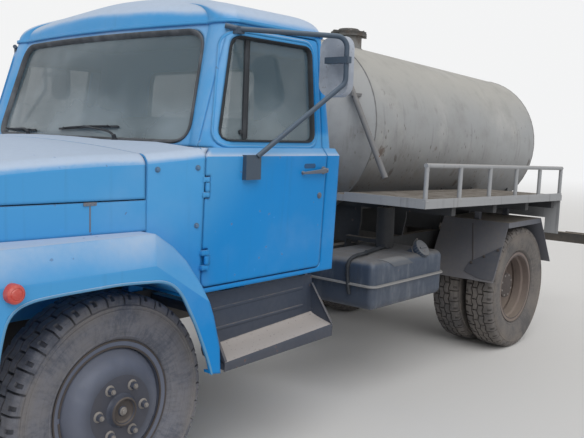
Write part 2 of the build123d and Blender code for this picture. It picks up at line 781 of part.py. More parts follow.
def leaf_pack(x_axle, y_middle, z_seat, half_length, rise, leaves, z_hang):
    """Stack of leaves whose lowest and shortest lies on the axle, with an eye at each end."""
    arc_radius = (half_length**2 + rise**2) / (2 * rise)
    z_top = z_seat + leaves * leaf_thick
    with BuildPart() as pack:
        for leaf in range(leaves):
            reach = half_length * (1.0 - 0.11 * leaf)
            upper = arc_radius + leaf * leaf_thick
            lower = upper + leaf_thick
            z_centre = z_top + arc_radius
            with BuildSketch(Plane.XZ.offset(-(y_middle + leaf_width / 2))):
                with BuildLine():
                    up_end = (reach, z_centre - (upper**2 - reach**2) ** 0.5)
                    low_end = (reach, z_centre - (lower**2 - reach**2) ** 0.5)
                    ThreePointArc(
                        (x_axle - reach, up_end[1]), (x_axle, z_centre - upper), (x_axle + reach, up_end[1])
                    )
                    Line((x_axle + reach, up_end[1]), (x_axle + reach, low_end[1]))
                    ThreePointArc(
                        (x_axle + reach, low_end[1]), (x_axle, z_centre - lower), (x_axle - reach, low_end[1])
                    )
                    Line((x_axle - reach, low_end[1]), (x_axle - reach, up_end[1]))
                make_face()
            extrude(amount=leaf_width)
        z_eye = z_top + rise
        for end in (-1, 1):
            with Locations((x_axle + end * half_length, y_middle, z_eye)):
                Cylinder(20.0, leaf_width, rotation=(90, 0, 0))
            with Locations((x_axle + end * half_length, y_middle, (z_eye + z_hang) / 2)):
                Box(46.0, leaf_width - 20.0, abs(z_hang - z_eye))
        for end in (-1, 1):
            with Locations((x_axle + end * 60.0, y_middle, z_seat + leaves * leaf_thick / 2)):
                Box(16.0, leaf_width + 12.0, leaves * leaf_thick + 16.0)
    return pack.part


rail_bottom = rail_top - rail_height
front_seat = z_axle + beam_height / 2 - beam_drop
rear_seat = z_axle + axle_tube_radius
rear_spring_y = rail_y + leaf_width / 2 + 6.0
with BuildPart() as leaf_springs:
    for side in sides.values():
        add(leaf_pack(x_front_axle, side * (rail_y - 34.0), front_seat, 620.0, 84.0, 7, rail_bottom))
        add(leaf_pack(x_rear_axle, side * rear_spring_y, rear_seat, 640.0, 76.0, 8, rail_bottom + 90.0))
        for end in (-1, 1):
            with Locations((x_rear_axle + end * 640.0, side * (rail_y + 8.0), rail_bottom + 80.0)):
                Box(60.0, 16.0, 110.0)
save(leaf_springs.part, "leaf_springs")

# Engine and gearbox: plain heavy blocks between the rails
with BuildPart() as engine:
    with Locations((2480.0, 0, 860.0)):
        Box(780.0, 500.0, 560.0)
    with Locations((2480.0, 0, 556.0)):
        Box(420.0, 320.0, 60.0)
    with Locations((1780.0, 0, 760.0)):
        Box(640.0, 360.0, 320.0)
    with Locations((1560.0, 0, rail_middle), (2700.0, 0, rail_middle)):
        Box(60.0, 2 * (rail_y - rail_wall - seat_gap), 50.0)
save(engine.part, "engine")

# Propeller shaft from the gearbox to the rear axle's bowl
shaft_radius = 42.0
shaft_end_gap = 2.6
x_shaft_front = 1460.0 - shaft_end_gap
z_shaft_front = 620.0
with BuildPart() as propshaft:
    shaft_path = Line((x_shaft_front, 0, z_shaft_front), (x_rear_axle + 300.0 + shaft_end_gap, 0, z_axle))
    with BuildSketch(Plane(origin=shaft_path @ 0, z_dir=shaft_path % 0)):
        Circle(shaft_radius)
    extrude(amount=shaft_path.length)
save(propshaft.part, "propshaft")

# Exhaust: silencer and pipes outside the right rail, the front pipe led inboard to the engine
exhaust_y = -560.0
exhaust_z = 560.0
silencer_radius = 88.0
silencer_x = 1060.0
silencer_length = 560.0
exhaust_pipe = 26.0
with BuildPart() as exhaust:
    with Locations((silencer_x, exhaust_y, exhaust_z)):
        Cylinder(silencer_radius, silencer_length, rotation=(0, 90, 0))
    with Locations((silencer_x - silencer_length / 2 - 190.0, exhaust_y, exhaust_z)):
        Cylinder(exhaust_pipe, 400.0, rotation=(0, 90, 0))
    with BuildLine() as front_pipe:
        FilletPolyline(
            (silencer_x + silencer_length / 2 - 20.0, exhaust_y, exhaust_z),
            (1470.0, exhaust_y, exhaust_z),
            (1560.0, -290.0, exhaust_z),
            (2240.0, -290.0, 690.0),
            radius=60.0,
        )
    with BuildSketch(Plane(origin=front_pipe.line @ 0, z_dir=front_pipe.line % 0)):
        Circle(exhaust_pipe)
    sweep()
    with Locations((2240.0, -274.0, 700.0)):
        Box(90.0, 48.0 - 2 * seat_gap, 70.0)
    for x in (silencer_x - 200.0, silencer_x + 200.0):
        with BuildSketch(Plane.YZ.offset(x - 20.0)):
            with BuildLine():
                Polyline(
                    (-rail_y - seat_gap, 700.0),
                    (-rail_y - seat_gap, 650.0),
                    (-rail_y - 12.0, 650.0),
                    (-rail_y - 12.0, 688.0),
                    (exhaust_y + 6.0, 688.0),
                    (exhaust_y + 6.0, exhaust_z + silencer_radius - 8.0),
                    (exhaust_y - 6.0, exhaust_z + silencer_radius - 8.0),
                    (exhaust_y - 6.0, 700.0),
                    close=True,
                )
            make_face()
        extrude(amount=40.0)
save(exhaust.part, "exhaust")

# Fuel tank: two pressed halves with a flange, under the platform's front
fuel_x = 90.0
fuel_length = 800.0
fuel_bottom = 616.0
fuel_height = 292.0
fuel_inner = 520.0
fuel_outer = 1040.0
filler_x = fuel_x - 170.0
filler_y = fuel_outer - 84.0
filler_z = fuel_bottom + fuel_height - 18.0
filler_tilt = 52.0
filler_radius = 46.0
filler_reach = 130.0
filler_cap_radius = 57.0
filler_cap_height = 26.0
with BuildPart() as fuel_tank:
    with Locations((fuel_x, (fuel_inner + fuel_outer) / 2, fuel_bottom + fuel_height / 2)):
        Box(fuel_length, fuel_outer - fuel_inner, fuel_height)
    fillet(fuel_tank.edges(), 44.0)
    with BuildSketch(Plane.XY.offset(fuel_bottom + fuel_height / 2 - 5.0)):
        with Locations((fuel_x, (fuel_inner + fuel_outer) / 2)):
            RectangleRounded(fuel_length + 36.0, fuel_outer - fuel_inner + 30.0, 60.0)
    extrude(amount=10.0)
    with Locations(Location((filler_x, filler_y, filler_z), (-filler_tilt, 0, 0))):
        Cylinder(filler_radius, filler_reach)
        with Locations((0, 0, filler_reach / 2)):
            Cylinder(filler_cap_radius, filler_cap_height)
    for x in (fuel_x - 250.0, fuel_x + 250.0):
        with Locations((x, rail_y + seat_gap, rail_middle + 30.0)):
            Box(60.0, fuel_inner + 30.0 - rail_y, 60.0, align=(Align.CENTER, Align.MIN, Align.CENTER))
save(fuel_tank.part, "fuel_tank")

# Side steps: a box with a tread plate under each door
step_front = 1782.0
step_rear = 1010.0
step_outer = 1150.0
step_inner = 1000.0
step_z = 600.0
step_top = 690.0
step_fall = 10.0
step_wall = 8.0
riser_top = 905.0
gusset_top = 848.0
step_bracket_x = [1150.0, 1600.0]
step_bracket_z = 770.0
with BuildPart() as side_steps:
    for side in sides.values():
        with BuildSketch(Plane.YZ.offset(step_rear)):
            with BuildLine():
                Polyline(
                    (side * (step_inner - step_wall), riser_top),
                    (side * step_inner, riser_top),
                    (side * (step_inner + step_wall), step_top),
                    (side * step_outer, step_top - step_fall),
                    (side * step_outer, step_z),
                    (side * (step_outer - step_wall), step_z),
                    (side * (step_outer - step_wall), step_top - step_fall - step_wall),
                    (side * (step_inner - step_wall), step_top - step_wall),
                    close=True,
                )
            make_face()
        extrude(amount=step_front - step_rear)
        for x in (step_rear, step_front - step_wall):
            with BuildSketch(Plane.YZ.offset(x)):
                with BuildLine():
                    Polyline(
                        (side * (step_inner - step_wall), gusset_top),
                        (side * (step_inner + step_wall), gusset_top),
                        (side * step_outer, step_top),
                        (side * step_outer, step_z),
                        (side * (step_inner - step_wall), step_z),
                        close=True,
                    )
                make_face()
            extrude(amount=step_wall)
        for x in step_bracket_x:
            with Locations((x, side * (rail_y + seat_gap + step_inner) / 2, step_bracket_z)):
                Box(50.0, step_inner - rail_y - seat_gap, 50.0)
save(side_steps.part, "side_steps")

# Seat bench and dashboard with its steering wheel
with BuildPart() as seats:
    with BuildSketch(Plane.XZ.offset(-840.0)):
        with BuildLine():
            Polyline(
                (1560.0, 1180.0),
                (1560.0, 1300.0),
                (1130.0, 1270.0),
                (1040.0, 1720.0),
                (976.0, 1700.0),
                (1030.0, 1180.0),
                close=True,
            )
        make_face()
    extrude(amount=1680.0)
    fillet(seats.edges().filter_by(Axis.Y), 24.0)
    with Locations((1300.0, 0, (cab_floor + 36.0 + 1180.0) / 2)):
        Box(420.0, 1400.0, 1180.0 - cab_floor - 36.0)
save(seats.part, "seats")

wheel_rim_radius = 210.0
wheel_rim_thick = 14.0
with BuildPart() as dashboard:
    with BuildSketch(Plane.XZ.offset(-960.0)):
        with BuildLine():
            Polyline(
                (1800.0, 1240.0), (1700.0, 1260.0), (1690.0, 1440.0), (1740.0, 1500.0), (1800.0, 1510.0), close=True
            )
        make_face()
    extrude(amount=1920.0)
    column = Plane(origin=(1500.0, 420.0, 1484.0), z_dir=(-0.72, 0, 0.69))
    with BuildSketch(column):
        Circle(26.0)
    extrude(amount=-330.0)
    with BuildSketch(column):
        Circle(wheel_rim_radius + wheel_rim_thick)
        Circle(wheel_rim_radius - wheel_rim_thick, mode=Mode.SUBTRACT)
    extrude(amount=2 * wheel_rim_thick)
    with BuildSketch(column):
        Circle(50.0)
        Rectangle(2 * wheel_rim_radius, 34.0)
    extrude(amount=16.0)
    for side in sides.values():
        with Locations((1790.0, side * 850.0, 1400.0)):
            stay_length = x_cowl_front - 110.0 - seat_gap - 1790.0
            Box(stay_length, 60.0, 40.0, align=(Align.MIN, Align.CENTER, Align.CENTER))
save(dashboard.part, "dashboard")


# Hood: crowned shell with side skirts, hinged at its rear
def hood_section(x, half, z_middle, z_side, z_bottom, inset=0.0):
    """Hood cross-section at one length: crowned top, rounded shoulders and upright skirts."""
    h = half - inset
    zs = z_side - inset
    with BuildSketch(Plane.YZ.offset(x)) as section:
        with BuildLine():
            Line((-h, z_bottom), (h, z_bottom))
            Line((h, z_bottom), (h, zs - 46.0))
            ThreePointArc((h, zs - 46.0), (h - 20.0, zs - 14.0), (h - 66.0, zs))
            ThreePointArc((h - 66.0, zs), (0, z_middle - inset), (-(h - 66.0), zs))
            ThreePointArc((-(h - 66.0), zs), (-(h - 20.0), zs - 14.0), (-h, zs - 46.0))
            Line((-h, zs - 46.0), (-h, z_bottom))
        make_face()
    return section.sketch


hood_gap = 9.0
hood_bottom = 1356.0
# Hood sections: length, half width, height in the middle, height at the shoulder
hood_sections = [
    (x_cowl_front + hood_gap, 1004.0, 1583.0, 1542.0),
    (2620.0, 952.0, 1562.0, 1516.0),
    (x_hood_front, 900.0, 1520.0, 1470.0),
]
hood_skin = 12.0
hood_lip_bottom = 1396.0
with BuildPart() as hood_hollow:
    for x, half, z_middle, z_side in hood_sections:
        reach = 20.0 if x < 2200.0 else 0.0
        add(hood_section(x - reach, half, z_middle, z_side, hood_bottom - 40.0, hood_skin))
    loft()
with BuildPart() as hood:
    for x, half, z_middle, z_side in hood_sections:
        add(hood_section(x, half, z_middle, z_side, hood_bottom))
    loft()
    add(hood_hollow.part, mode=Mode.SUBTRACT)
    extrude(
        hood_section(*hood_sections[-1], hood_lip_bottom), amount=hood_skin, dir=(-1, 0, 0)
    )
    for side in sides.values():
        with BuildSketch(Plane.XZ.offset(-(side * hinge_y + hinge_arm / 2))):
            with BuildLine():
                Polyline(
                    (hinge_x + 12.0, hinge_z - 10.0),
                    (hinge_x + 124.0, hinge_z - 144.0),
                    (hinge_x + 214.0, hinge_z - 144.0),
                    (hinge_x + 214.0, hinge_z + 26.0),
                    (hinge_x + 250.0, hinge_z + 26.0),
                    (hinge_x + 250.0, hinge_z - 176.0),
                    (hinge_x + 106.0, hinge_z - 176.0),
                    (hinge_x - 14.0, hinge_z - 8.0),
                    close=True,
                )
            make_face()
            with Locations((hinge_x, hinge_z)):
                Circle(hinge_eye)
                Circle(hinge_pin_radius + turn_clearance, mode=Mode.SUBTRACT)
        extrude(amount=hinge_arm)
save(hood.part, "hood")

# Panels between the hood and the fenders
side_panel_bottom = fender_top + seat_gap
side_panel_gap = 6.0
with BuildPart() as cowl_sides:
    for side in sides.values():
        with BuildSketch(Plane.XY.offset(side_panel_bottom)):
            with BuildLine():
                Polyline(
                    (x_cowl_front + seat_gap, side * 1002.0),
                    (2620.0, side * 950.0),
                    (x_hood_front, side * 898.0),
                    (x_hood_front, side * 884.0),
                    (2620.0, side * 936.0),
                    (x_cowl_front + seat_gap, side * 988.0),
                    close=True,
                )
            make_face()
        extrude(amount=hood_bottom - side_panel_gap - side_panel_bottom)
save(cowl_sides.part, "cowl_sides")

# Fenders: side outline of the skin and of the wheel opening, length and height
fender_outline = [
    (1806.0, 580.0),
    (1814.0, 700.0),
    (1852.0, 845.0),
    (1908.0, 990.0),
    (1972.0, 1096.0),
    (2036.0, 1160.0),
    (2130.0, fender_top),
    (3000.0, fender_top),
    (x_fender_front, 1100.0),
    (x_fender_front, 800.0),
    (2990.0, 775.0),
    (2880.0, 775.0),
]
arch_outline = [
    (1862.0, 400.0),
    (1862.0, 580.0),
    (1886.0, 660.0),
    (1954.0, 818.0),
    (2040.0, 976.0),
    (2114.0, 1030.0),
    (2333.0, 1046.0),
    (2591.0, 1043.0),
    (2721.0, 1037.0),
    (2790.0, 1000.0),
    (2816.0, 900.0),
    (2835.0, 775.0),
    (2835.0, 400.0),
]
fender_skin = 12.0
fender_crown = 56.0
fender_slope = 120.0


def fender_block(side, inset, y_inner):
    """Fender as a solid: side outline across its width, its outer top edge bevelled."""
    y_outer = side * (fender_half_width - inset)
    with BuildPart() as block:
        with BuildSketch(Plane.XZ.offset(-y_outer)):
            with BuildLine():
                Polyline(*fender_outline, close=True)
            make_face()
            if inset:
                offset(amount=-inset, kind=Kind.INTERSECTION, mode=Mode.REPLACE)
        extrude(amount=side * (fender_half_width - inset - y_inner))
        upper = [e for e in block.edges().filter_by_position(Axis.Y, y_outer - 0.1, y_outer + 0.1)]
        upper = [e for e in upper if e.center().Z > 1150.0]
        chamfer(upper, fender_crown, fender_slope)
    return block.part


fender_inner = 505.0
apron_bottom = 800.0
rear_flap_top = 905.0
rear_flap_inner = 1108.0
x_grille_rear = 3015.0
grille_space = 885.0
fender_stay_x = [2300.0, 2900.0]
for label, side in sides.items():
    with BuildPart() as fender:
        add(fender_block(side, 0.0, fender_inner))
        add(fender_block(side, fender_skin, fender_inner - 40.0), mode=Mode.SUBTRACT)
        with BuildSketch(Plane.XZ.offset(-side * (fender_half_width + 10.0))):
            with BuildLine():
                Polyline(*arch_outline, close=True)
            make_face()
        extrude(amount=side * (fender_half_width - fender_inner + 40.0), mode=Mode.SUBTRACT)
        with BuildSketch(Plane.XY.offset(cab_floor - 8.0)):
            with BuildLine():
                Polyline(
                    (x_door_front - 100.0, 0),
                    (x_door_front - 100.0, side * (cab_half_width + 4.0)),
                    (x_door_front, side * (cab_half_width + 4.0)),
                    (x_cowl_front + 2.0, side * (cowl_half_width + 2.0)),
                    (x_cowl_front + 2.0, 0),
                    close=True,
                )
            make_face()
        extrude(amount=600.0, mode=Mode.SUBTRACT)
        inward = Align.MIN if side > 0 else Align.MAX
        with Locations((1700.0, side * (fender_inner - 50.0), 400.0)):
            Box(
                300.0,
                rear_flap_inner - fender_inner + 50.0,
                rear_flap_top - 400.0,
                align=(Align.MIN, inward, Align.MIN),
                mode=Mode.SUBTRACT,
            )
        with Locations((x_grille_rear, 0, 400.0)):
            Box(
                300.0,
                grille_space,
                1000.0,
                align=(Align.MIN, inward, Align.MIN),
                mode=Mode.SUBTRACT,
            )
        with Locations((2150.0, side * fender_inner, apron_bottom)):
            Box(
                x_grille_rear - 2150.0,
                fender_skin,
                fender_top - apron_bottom,
                align=(Align.MIN, inward, Align.MIN),
            )
        for x in fender_stay_x:
            with Locations((x, side * (rail_y - 40.0), rail_top + seat_gap)):
                Box(60.0, fender_inner - rail_y + 44.0, 16.0, align=(Align.CENTER, inward, Align.MIN))
    save(fender.part, "fender_" + label)

# Grille: an upright front panel with slats between two lamp housings
grille_x = x_fender_front - 40.0
grille_bottom = rail_top + seat_gap
grille_top = 1390.0
grille_half = 880.0
grille_depth = 60.0
slat_count = 7
slat_height = 26.0
lamp_y = 700.0
lamp_z = 1060.0
lamp_radius = 98.0
window_half = 540.0
with BuildPart() as grille_panel:
    with BuildSketch(Plane.YZ.offset(grille_x - grille_depth)):
        with Locations((0, (grille_top + grille_bottom) / 2)):
            RectangleRounded(2 * grille_half, grille_top - grille_bottom, 60.0)
    extrude(amount=grille_depth)
    with BuildSketch(Plane.YZ.offset(grille_x - grille_depth)):
        with Locations((0, (grille_top + grille_bottom) / 2 + 10.0)):
            RectangleRounded(2 * window_half, grille_top - grille_bottom - 150.0, 30.0)
        with Locations((lamp_y, lamp_z), (-lamp_y, lamp_z)):
            Circle(lamp_radius)
    extrude(amount=grille_depth, mode=Mode.SUBTRACT)
    slat_pitch = (grille_top - grille_bottom - 150.0) / (slat_count + 1)
    for slat in range(slat_count):
        slat_z = grille_bottom + 85.0 + (slat + 1) * slat_pitch
        with Locations((grille_x - grille_depth / 2, 0, slat_z)):
            Box(grille_depth - 16.0, 2 * window_half + 8.0, slat_height, rotation=(0, 12, 0))
    with Locations((grille_x - grille_depth / 2, 0, (grille_top + grille_bottom) / 2 + 10.0)):
        Box(grille_depth - 20.0, 30.0, grille_top - grille_bottom - 146.0)
save(grille_panel.part, "grille_panel")

# Front lamps: round headlamps in the panel and side markers on the fenders
marker_x = 2776.0
marker_z = 1081.0
marker_radius = 34.0
with BuildPart() as front_lamps:
    for side in sides.values():
        lens = Plane(origin=(grille_x - grille_depth + 12.0, side * lamp_y, lamp_z), z_dir=(1, 0, 0))
        with BuildSketch(lens):
            Circle(lamp_radius - seat_gap)
        extrude(amount=grille_depth - 16.0)
        with BuildSketch(lens.offset(grille_depth - 16.0)):
            Circle(lamp_radius - 8.0)
        extrude(amount=14.0, taper=30.0)
        with BuildSketch(Plane.XZ.offset(-side * (fender_half_width + seat_gap))):
            with Locations((marker_x, marker_z)):
                Circle(marker_radius)
        extrude(amount=-side * 26.0, taper=12.0)
save(front_lamps.part, "front_lamps")

# Mirrors: a bent tube from the door's top to its belt, with a rounded head clamped to the upright run
seat_at_rear = (Align.CENTER, Align.CENTER, Align.MIN)
outward = {1: (Align.CENTER, Align.MIN, Align.CENTER), -1: (Align.CENTER, Align.MAX, Align.CENTER)}
mirror_tube = 12.0
mirror_half_width = 1310.0
mirror_x = 1186.0
mirror_top = 2096.0
mirror_low = 1884.0
mirror_bend = 52.0
mirror_head_x = 1148.0
mirror_head_y = 1206.0
mirror_head_z = 1966.0
mirror_head_width = 190.0
mirror_head_height = 290.0
mirror_head_depth = 34.0
mirror_head_corner = 62.0
mirror_clamp_z = 1990.0
mirror_bracket_x = 1583.0
mirror_bracket_z = 1482.0
mirror_frame_x = 1568.0
for label, side in sides.items():
    with BuildPart() as mirror:
        with BuildLine() as route:
            FilletPolyline(
                (1616.0, side * 936.0, 2120.0),
                (mirror_frame_x, side * 986.0, 2106.0),
                (mirror_x, side * mirror_half_width, mirror_top),
                (mirror_x, side * mirror_half_width, mirror_low),
                (mirror_bracket_x - 26.0, side * 1106.0, mirror_bracket_z + 50.0),
                radius=mirror_bend,
            )
        with BuildSketch(Plane(origin=route.line @ 0, z_dir=route.line % 0)):
            Circle(mirror_tube)
        sweep()
        with BuildSketch(Plane.YZ.offset(mirror_head_x - mirror_head_depth)):
            with Locations((side * mirror_head_y, mirror_head_z)):
                RectangleRounded(mirror_head_width, mirror_head_height, mirror_head_corner)
        extrude(amount=mirror_head_depth, taper=12.0)
        with Locations((mirror_head_x - 10.0, side * mirror_head_y, mirror_clamp_z)):
            Cylinder(16.0, mirror_x - mirror_head_x + 10.0, rotation=(0, 90, 0), align=seat_at_rear)
        with Locations((mirror_x, side * (mirror_head_y - 16.0), mirror_clamp_z)):
            Box(30.0, mirror_half_width - mirror_head_y + 34.0, 30.0, align=outward[side])
        with Locations((mirror_frame_x, side * 975.0, 2100.0)):
            Box(40.0, 40.0, 30.0)
        with Locations((mirror_bracket_x, side * 1090.0, mirror_bracket_z)):
            Box(96.0, 36.0, 112.0)
        add(cab_outer, mode=Mode.SUBTRACT)
    save(mirror.part, "mirror_" + label)

# Tank: a cylinder with a dished head at each end, its axis lower at the rear
head_radius = (tank_radius**2 + dome_depth**2) / (2 * dome_depth)
half_angle = asin(tank_radius / head_radius) / 2
head_middle = (head_radius * (1 - cos(half_angle)), head_radius * sin(half_angle))
tank_place = Location((x_tank_seam, 0, tank_axis_z), (0, 180.0 - tank_slope, 0))
with BuildPart() as tank_form:
    with BuildSketch(Plane.XZ):
        with BuildLine():
            Line((-dome_depth, 0), (tank_length + dome_depth, 0))
            ThreePointArc(
                (tank_length + dome_depth, 0),
                (tank_length + dome_depth - head_middle[0], head_middle[1]),
                (tank_length, tank_radius),
            )
            Line((tank_length, tank_radius), (0, tank_radius))
            ThreePointArc((0, tank_radius), (head_middle[0] - dome_depth, head_middle[1]), (-dome_depth, 0))
        make_face()
    revolve(axis=Axis.X)
tank = tank_form.part.moved(tank_place)
save(tank, "tank")


def axis_height(x):
    """Height of the tank's axis at one length."""
    return tank_axis_z + (x - x_tank_seam) * tan(radians(tank_slope))


def deck_height(x):
    """Height of the platforms' top at one length."""
    return platform_top + (x - x_platform_front) * tan(radians(body_slope))


def inclined(piece):
    """A piece of the platforms, lowered towards the rear about their front edge."""
    return piece.rotate(Axis((x_platform_front, 0, platform_top), (0, 1, 0)), -body_slope)


# Saddles: two bearers on the rails and cradle plates under the tank, with outriggers
bearer_height = 80.0
bearer_width = 66.0
saddle_wall = 16.0
outrigger_height = 60.0
saddle_half = 460.0
saddle_top = 1235.0
saddle_x = [-180.0, -760.0, -1290.0, -1780.0, -2480.0]
outrigger_saddles = saddle_x[:4]
outrigger_top = platform_top - platform_depth - seat_gap
with BuildPart() as tank_clearance:
    with BuildSketch(Plane.YZ.offset(-100.0)):
        Circle(tank_radius + seat_gap)
    extrude(amount=tank_length + 200.0)
with BuildPart() as outriggers:
    for x in outrigger_saddles:
        with Locations((x, 0, outrigger_top - outrigger_height / 2)):
            Box(50.0, 2 * (platform_half_width - 30.0), outrigger_height)
with BuildPart() as tank_saddles:
    for side in sides.values():
        bearer_end = x_tank_seam + 200.0
        bearer_start = x_tank_seam - tank_length
        bearer_middle = (bearer_end + bearer_start) / 2
        with Locations((bearer_middle, side * (rail_y - rail_flange / 2), rail_top + bearer_height / 2)):
            Box(bearer_end - bearer_start, bearer_width, bearer_height)
    for x in saddle_x:
        with BuildSketch(Plane.YZ.offset(x - saddle_wall / 2)):
            with BuildLine():
                Polyline(
                    (-rail_y, rail_top + bearer_height - 2.0),
                    (rail_y, rail_top + bearer_height - 2.0),
                    (saddle_half, 1040.0),
                    (saddle_half, saddle_top),
                    (-saddle_half, saddle_top),
                    (-saddle_half, 1040.0),
                    close=True,
                )
            make_face()
        extrude(amount=saddle_wall)
    add(inclined(outriggers.part))
    add(tank_clearance.part.moved(tank_place), mode=Mode.SUBTRACT)
save(tank_saddles.part, "tank_saddles")

# Sizes of the rear mudguards: side outline and reach
guard_points = [(-1010.0, 590.0), (-1225.0, 1017.0), (-1810.0, 1017.0), (-2060.0, 637.0)]
guard_top = 1017.0
guard_wall = 5.0
guard_outer = 1070.0
guard_inner = 520.0
guard_lip = 38.0
folded_in = {1: (Align.CENTER, Align.MAX, Align.MAX), -1: (Align.CENTER, Align.MIN, Align.MAX)}

# Platforms: a deck plate inside an edge channel at each side of the tank, with a skirt at its rear
deck_plate = 5.0
skirt_wall = 5.0
skirt_drop = 269.0
skirt_step = 147.0
skirt_inner = 560.0
skirt_outer = platform_half_width - 8.0
skirt_clear = guard_outer + 8.0
with BuildPart() as platforms:
    for side in sides.values():
        y_middle = side * (platform_half_width + platform_inner) / 2
        width = platform_half_width - platform_inner
        with Locations((x_platform_front - platform_length / 2, y_middle, platform_top - platform_depth / 2)):
            Box(platform_length, width, platform_depth)
            with Locations((0, 0, -deck_plate)):
                Box(platform_length - 12.0, width - 12.0, platform_depth, mode=Mode.SUBTRACT)
        with BuildSketch(Plane.YZ.offset(x_platform_front - platform_length)):
            with BuildLine():
                Polyline(
                    (side * skirt_inner, platform_top - deck_plate),
                    (side * skirt_outer, platform_top - deck_plate),
                    (side * skirt_outer, platform_top - platform_depth - skirt_drop),
                    (side * skirt_clear, platform_top - platform_depth - skirt_drop),
                    (side * skirt_clear, platform_top - platform_depth - skirt_step),
                    (side * skirt_inner, platform_top - platform_depth - skirt_step),
                    close=True,
                )
            make_face()
        extrude(amount=skirt_wall)
save(inclined(platforms.part), "platforms")

# Railings: posts and one top rail along each platform's outer edge
post_count = 6
rail_tube = 14.0
railing_height = 228.0
post_pitch = (platform_length - 2 * rail_tube - 12.0) / (post_count - 1)
with BuildPart() as railings:
    for side in sides.values():
        y_rail = side * (platform_half_width - rail_tube - 3.0)
        for post in range(post_count):
            x_post = x_platform_front - rail_tube - 6.0 - post * post_pitch
            with Locations((x_post, y_rail, platform_top + (railing_height - rail_tube) / 2)):
                Cylinder(rail_tube, railing_height - rail_tube)
        z_rail = platform_top + railing_height - rail_tube
        with Locations((x_platform_front - platform_length / 2, y_rail, z_rail)):
            Cylinder(rail_tube, platform_length - 12.0, rotation=(0, 90, 0))
save(inclined(railings.part), "railings")

# Rear mudguards: a bent plate with a folded lip over each pair of twin wheels, hung from the outriggers
with BuildPart() as rear_mudguards:
    for side in sides.values():
        with BuildSketch(Plane.XZ.offset(-side * guard_outer)):
            with BuildLine():
                Polyline(*guard_points)
            trace(line_width=guard_wall)
        extrude(amount=side * (guard_outer - guard_inner))
        with Locations(((guard_points[1][0] + guard_points[2][0]) / 2, side * guard_outer, guard_top)):
            Box(guard_points[1][0] - guard_points[2][0], guard_wall, guard_lip, align=folded_in[side])
        for x in saddle_x[2:4]:
            post_top = deck_height(x) - platform_depth - outrigger_height - 1.0
            with Locations((x, side * 780.0, (guard_top + post_top) / 2)):
                Box(40.0, 40.0, post_top - guard_top)
save(rear_mudguards.part, "rear_mudguards")

# Hatch on the tank's ridge: neck, flange and a lid that swings back
neck_radius = 100.0
flange_radius = 134.0
flange_wall = 18.0
neck_rise = 104.0
neck_top = axis_height(hatch_x) + tank_radius + neck_rise
lid_pivot_x = hatch_x - flange_radius - 26.0
lid_wall = 14.0
lid_pin = 8.0
with BuildPart() as hatch_neck:
    with Locations((hatch_x, 0, neck_top)):
        Cylinder(neck_radius, neck_rise + 60.0, align=(Align.CENTER, Align.CENTER, Align.MAX))
        Cylinder(flange_radius, flange_wall, align=(Align.CENTER, Align.CENTER, Align.MAX))
        bore_align = (Align.CENTER, Align.CENTER, Align.MAX)
        Cylinder(neck_radius - 8.0, neck_rise + 80.0, align=bore_align, mode=Mode.SUBTRACT)
    for y in (-36.0, 36.0):
        with Locations((lid_pivot_x + 2.0, y, neck_top + 2.0)):
            Box(36.0, 12.0, 36.0)
        with Locations((lid_pivot_x + 20.0, y, neck_top - 9.0)):
            Box(40.0, 12.0, 14.0)
    with Locations((lid_pivot_x, 0, neck_top + 8.0)):
        Cylinder(lid_pin, 84.0, rotation=(90, 0, 0))
    add(tank, mode=Mode.SUBTRACT)
save(hatch_neck.part, "hatch_neck")

with BuildPart() as hatch_lid:
    with Locations((hatch_x, 0, neck_top + seat_gap)):
        Cylinder(flange_radius, lid_wall, align=(Align.CENTER, Align.CENTER, Align.MIN))
    with BuildSketch(Plane.XY.offset(neck_top + seat_gap + lid_wall)):
        with Locations((hatch_x, 0)):
            Circle(neck_radius)
    extrude(amount=24.0, taper=50.0)
    with Locations(((lid_pivot_x + hatch_x - 100.0) / 2, 0, neck_top + seat_gap + lid_wall / 2 + 1.0)):
        Box(hatch_x - 100.0 - lid_pivot_x, 48.0, lid_wall - 2.0)
    with Locations((lid_pivot_x, 0, neck_top + 8.0)):
        Cylinder(16.0, 48.0, rotation=(90, 0, 0))
        Cylinder(lid_pin + turn_clearance, 60.0, rotation=(90, 0, 0), mode=Mode.SUBTRACT)
    with Locations((hatch_x + flange_radius + 16.0, 0, neck_top + seat_gap + lid_wall / 2)):
        Box(44.0, 30.0, lid_wall)
save(hatch_lid.part, "hatch_lid")

# Vacuum gear: a pump behind the cab and an upright trap vessel under the left platform
vessel_x = -60.0
vessel_y = 740.0
vessel_bottom = 914.0
vessel_height = 262.0
with BuildPart() as vacuum_gear:
    with Locations((620.0, 0, rail_top + 150.0)):
        Cylinder(140.0, 380.0, rotation=(90, 0, 0))
    with Locations((620.0, 0, rail_top + 10.0)):
        Box(300.0, 2 * rail_y, 20.0)
    with Locations((620.0, 0, rail_top + 60.0)):
        Box(200.0, 300.0, 100.0)
    with Locations((vessel_x, vessel_y, vessel_bottom)):
        Cylinder(58.0, vessel_height, align=(Align.CENTER, Align.CENTER, Align.MIN))
        Cylinder(20.0, vessel_height + 22.0, align=(Align.CENTER, Align.CENTER, Align.MIN))
    with Locations((vessel_x, rail_y + seat_gap, vessel_bottom + 20.0)):
        Box(50.0, vessel_y - rail_y - 40.0, 24.0, align=(Align.CENTER, Align.MIN, Align.MIN))
    with Locations((vessel_x, rail_y + seat_gap, rail_middle)):
        Box(
            60.0, 14.0, vessel_bottom + 44.0 - rail_middle, align=(Align.CENTER, Align.MIN, Align.MIN)
        )
save(vacuum_gear.part, "vacuum_gear")

